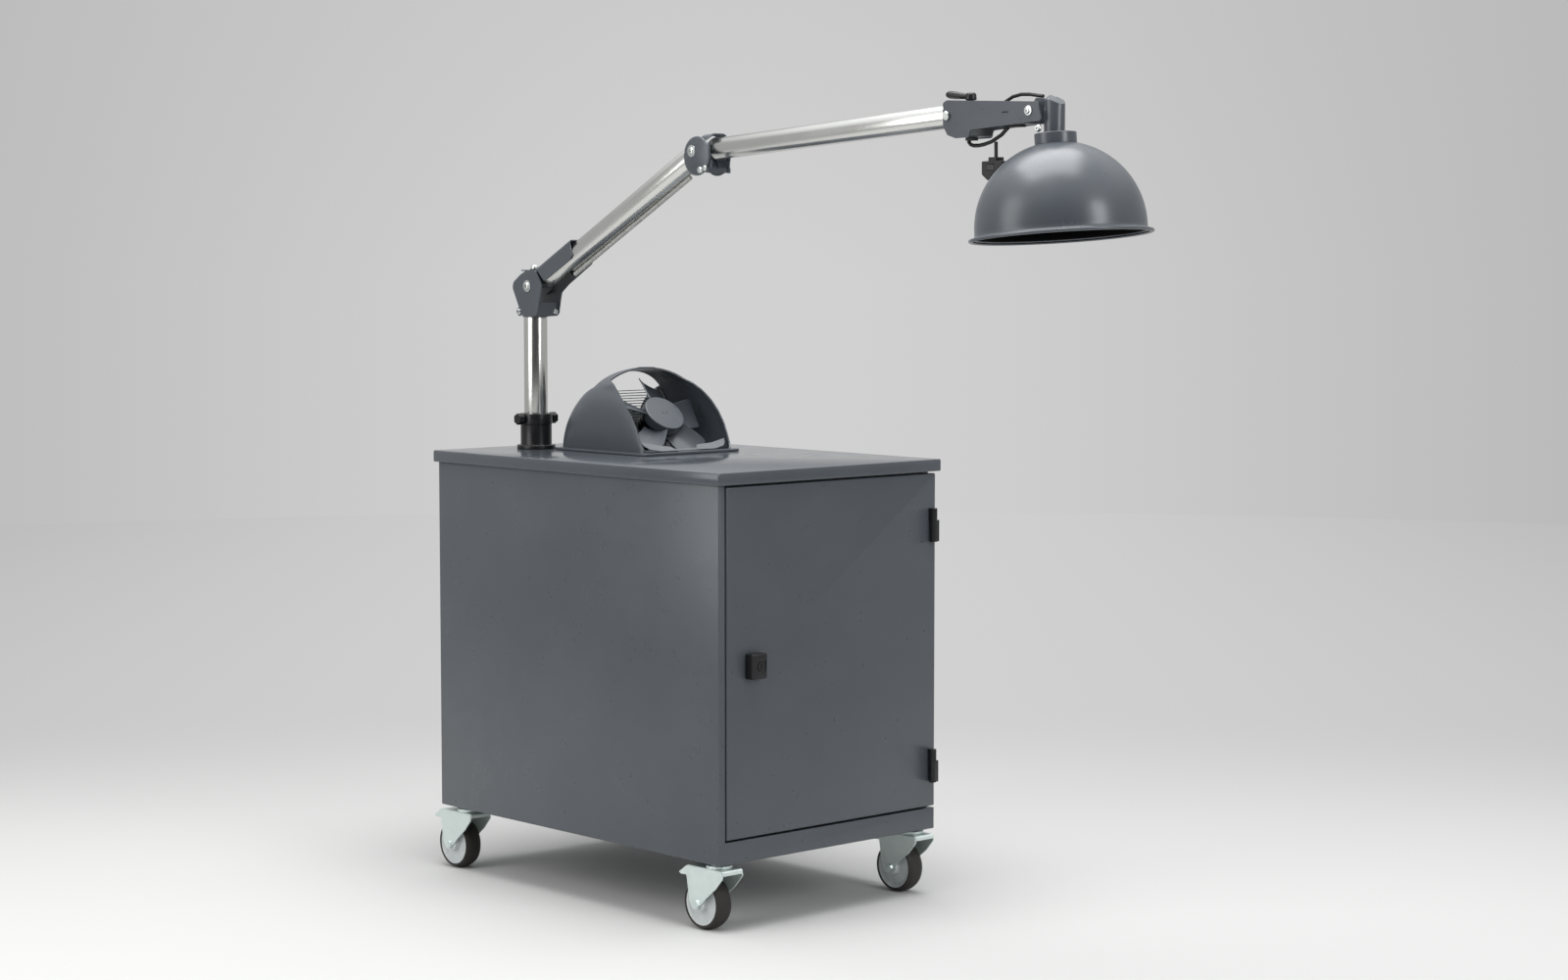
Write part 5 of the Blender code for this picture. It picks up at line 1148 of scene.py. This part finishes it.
seat = []
for step in range(seat_steps + 1):
    radius = hood_collar_radius * (1 - step / seat_steps)
    seat.append((radius, math.sqrt(hood_radius**2 - radius**2) - hood_drop + seat_room))
collar_outline = [(0, 0.0122), (0.006, 0.0122), (0.006, hood_collar_top)]
collar_outline.append((hood_collar_radius, hood_collar_top))
collar = spun(softened(collar_outline + seat[:1], 0.0020, 4) + seat[1:], 96)
collar = as_piece("hood_collar_ring", stood(collar, hood_place, hood_lean), 40)
fit(collar, "hood", slate, "hood_collar")
clamp_head = [
    (0, 0.0022),
    (0.0020, 0.0022),
    (0.0020, 0.0050),
    (0.0045, 0.0050),
    (0.0062, 0.0030),
    (0.0066, 0),
    (0, 0),
]
clamp_head = stood(spun(clamp_head, 32), hood_place + clamp_screw_spot, 0.0, "-X")
fit(as_piece("collar_clamp_screw", clamp_head, 35), "hood", zinc)

# Casters: zinc plated swivel forks below a fixed race, with grey plastic wheels and dark
# rubber tyres on a bolt. All four swivel.

grey_plastic = painted(
    "grey_wheel_plastic", (0.38, 0.40, 0.40), 0.36, 0.50, "grey_plastic", depth=0.00008
)
tyre_rubber = Finish("dark_tyre_rubber", "tyre", {"Specular IOR Level": 0.4})
tyre_grain = tyre_rubber.noise(tyre_rubber.place(), scale=450.0, detail=3.0)
tyre_rubber.set(
    Base_Color=tyre_rubber.between(tyre_grain, (0.016, 0.014, 0.013, 1), (0.034, 0.030, 0.028, 1)),
    Roughness=tyre_rubber.range(tyre_grain, 0.50, 0.72, start=0.3, end=0.7),
)
tyre_rubber.ripple(tyre_grain, depth=0.0002, strength=0.5)

pale_zinc = plated("pale_zinc_plate", (0.60, 0.69, 0.67), (0.78, 0.85, 0.83), 0.38, 0.50, 0.75)
wheel_radius = 0.050
rim_radius = 0.042
rim_hub = 0.014
tyre_half = 0.019
hub_half = 0.0229
axle_bore = 0.0055
caster_trail = 0.033
caster_side = 0.2525
front_pivot = 0.000756
rear_pivot = 0.782756

side_profile = [
    (axle_bore, hub_half),
    (rim_hub, hub_half),
    (rim_hub * 1.12, tyre_half * 0.66),
    (rim_radius * 0.80, tyre_half * 0.58),
    (rim_radius * 0.90, tyre_half * 0.84),
    (rim_radius, tyre_half * 0.93),
]
other_side = [(radius, -half) for radius, half in reversed(side_profile)]
wheel_profile = side_profile + other_side + side_profile[:1]
bed = rim_radius + gap
tread_profile = [
    (bed, tyre_half * 0.94),
    (wheel_radius - tyre_half * 0.22, tyre_half),
    (wheel_radius, tyre_half * 0.50),
    (wheel_radius, -tyre_half * 0.50),
    (wheel_radius - tyre_half * 0.22, -tyre_half),
    (bed, -tyre_half * 0.94),
    (bed, tyre_half * 0.94),
]
for label, x, y in (
    ("front_left", -caster_side, front_pivot),
    ("front_right", caster_side, front_pivot),
    ("rear_left", -caster_side, rear_pivot),
    ("rear_right", caster_side, rear_pivot),
):
    axle = Vector((x, y + caster_trail, wheel_radius))
    dress(label + "_race", "cabinet", pale_zinc, 0.0006)
    dress(label + "_fork", label + "_caster", pale_zinc, 0.0006, 3)
    wheel = stood(spun(softened(wheel_profile, 0.0014), 72), axle, 0.0, "X")
    fit(as_piece(label + "_wheel_rim", wheel, 35), label + "_wheel", grey_plastic, label + "_rim")
    tread = stood(spun(softened(tread_profile, 0.0030, 4), 96), axle, 0.0, "X")
    fit(as_piece(label + "_wheel_tyre", tread, 35), label + "_wheel", tyre_rubber, label + "_tyre")

# Studio: a pale floor that fades into a pale room, a tall soft light at the left, a weaker
# one at the right and a broad one overhead. Glossy faces mirror a bright ceiling, and a
# dark wall on the side that the photograph is taken from.

floor_radius = 9.0
floor_centre = Vector((0, 0.1, 0))
room_tone = (0.640, 0.640, 0.640, 1)
side_tone = (0.470, 0.470, 0.470, 1)
high_tone = (0.480, 0.480, 0.480, 1)
side_way = Vector((0.737, -0.676, 0))
back_way = Vector((0.676, 0.737, 0))
dark_wall = 0.88

floor = bmesh.new()
bmesh.ops.create_circle(floor, cap_ends=True, segments=128, radius=floor_radius)
floor = as_piece("studio_floor", floor, smooth=False)
scene.collection.objects.link(floor)
ground = Finish("studio_floor_paint", None, {"Roughness": 0.9, "Specular IOR Level": 0.0})
ground.shader.inputs["Base Color"].default_value = (0.62, 0.62, 0.61, 1)
here = ground.place(centre=tuple(floor_centre))


def eased_step(finish, value, start, end):
    """From 0 to 1, with no kink, while the value goes from start to end."""
    sockets = {"Value": value, "From Min": start, "From Max": end, "To Min": 0.0, "To Max": 1.0}
    return finish.node("ShaderNodeMapRange", {"interpolation_type": "SMOOTHSTEP"}, sockets)


def along(finish, place, direction):
    """How far a place lies along a direction."""
    return finish.vector("DOT_PRODUCT", place, direction, output="Value")


away = ground.vector("LENGTH", here, output="Value")
behind = eased_step(ground, along(ground, here, back_way), start=0.55, end=2.9)
ring = eased_step(ground, away, start=1.7, end=3.4)
faded = behind.step("MAXIMUM", behind, ring)
sideways = along(ground, here, side_way)
floor_side = eased_step(ground, sideways.step("ABSOLUTE", sideways), start=0.0, end=5.3)
floor_tone = ground.between(floor_side, room_tone, side_tone)
glow = ground.node("ShaderNodeEmission", None, {"Color": floor_tone, "Strength": 1.0})
paint = Value(ground, ground.shader.outputs[0])
mixed = ground.node("ShaderNodeMixShader", None, {0: faded, 1: paint, 2: glow})
ground.feed(ground.tree.nodes["Material Output"].inputs["Surface"], mixed)
floor.data.materials.append(ground.owner)

world = bpy.data.worlds.new("studio_room")
scene.world = world
room = Finish("studio_room", owner=world)
way = room.node("ShaderNodeTexCoord", output="Generated")
height = room.node("ShaderNodeSeparateXYZ", None, {0: way}, "Z")
sideways = along(room, way, side_way) + 0.02
room_side = eased_step(room, sideways.step("ABSOLUTE", sideways), start=0.0, end=0.36)
walls = room.between(room_side, room_tone, side_tone)
higher = room.range(height, 0.0, 0.9, start=-0.01, end=0.30)
seen_colour = room.between(higher, walls, high_tone)
dark = eased_step(room, along(room, way, -back_way), start=0.45, end=0.97) * dark_wall
camera_ray, glossy_ray, clear_ray = [
    room.node("ShaderNodeLightPath", output=f"Is {kind} Ray")
    for kind in ("Camera", "Glossy", "Transmission")
]
ceiling = eased_step(room, height, start=0.30, end=0.72)
ceiling_colour = room.between(ceiling, seen_colour, (1.25, 1.27, 1.28, 1))
shaded = room.between(dark * glossy_ray, ceiling_colour, (0.0, 0.0, 0.0, 1))
seen = room.node("ShaderNodeBackground", None, {"Color": shaded, "Strength": 1.0})
overhead = room.range(height, 0.0, 1.0, start=-0.1, end=0.9)
fill = room.between(overhead, (0.20, 0.205, 0.21, 1), (0.70, 0.71, 0.72, 1))
ambient = room.node("ShaderNodeBackground", None, {"Color": fill, "Strength": 1.0})
looking = camera_ray + glossy_ray + clear_ray
mixed = room.node("ShaderNodeMixShader", None, {0: looking, 1: ambient, 2: seen})
room.feed(room.tree.nodes["World Output"].inputs["Surface"], mixed)

aim = Vector((0, 0.1, 0.75))


def softbox(name, place, width, height, watts, colour):
    """A rectangular soft light, turned to face the object."""
    light = bpy.data.lights.new(name, "AREA")
    light.shape = "RECTANGLE"
    light.size = width
    light.size_y = height
    light.energy = watts
    light.color = colour
    lamp = bpy.data.objects.new(name, light)
    turn = (aim - place).to_track_quat("-Z", "Y").to_matrix().to_4x4()
    lamp.matrix_world = Matrix.Translation(place) @ turn
    scene.collection.objects.link(lamp)


softbox("left_softbox", Vector((-3.10, 0.90, 1.9)), 1.6, 2.8, 46, (1.0, 0.995, 0.98))
softbox("right_softbox", Vector((0.15, -3.60, 2.1)), 0.95, 1.6, 40, (0.98, 0.99, 1.0))
softbox("overhead_softbox", Vector((-0.1, 0.0, 3.7)), 2.4, 2.4, 112, (1.0, 1.0, 1.0))

camera = bpy.data.objects.new("camera", bpy.data.cameras.new("camera"))
camera.location = (-3.9270, -4.2065, 1.2704)
camera.rotation_euler = (math.radians(85.482), 0, math.radians(-42.373))
camera.data.lens = 69.46
camera.data.sensor_width = 36
scene.collection.objects.link(camera)
scene.camera = camera
scene.view_settings.view_transform = "Standard"
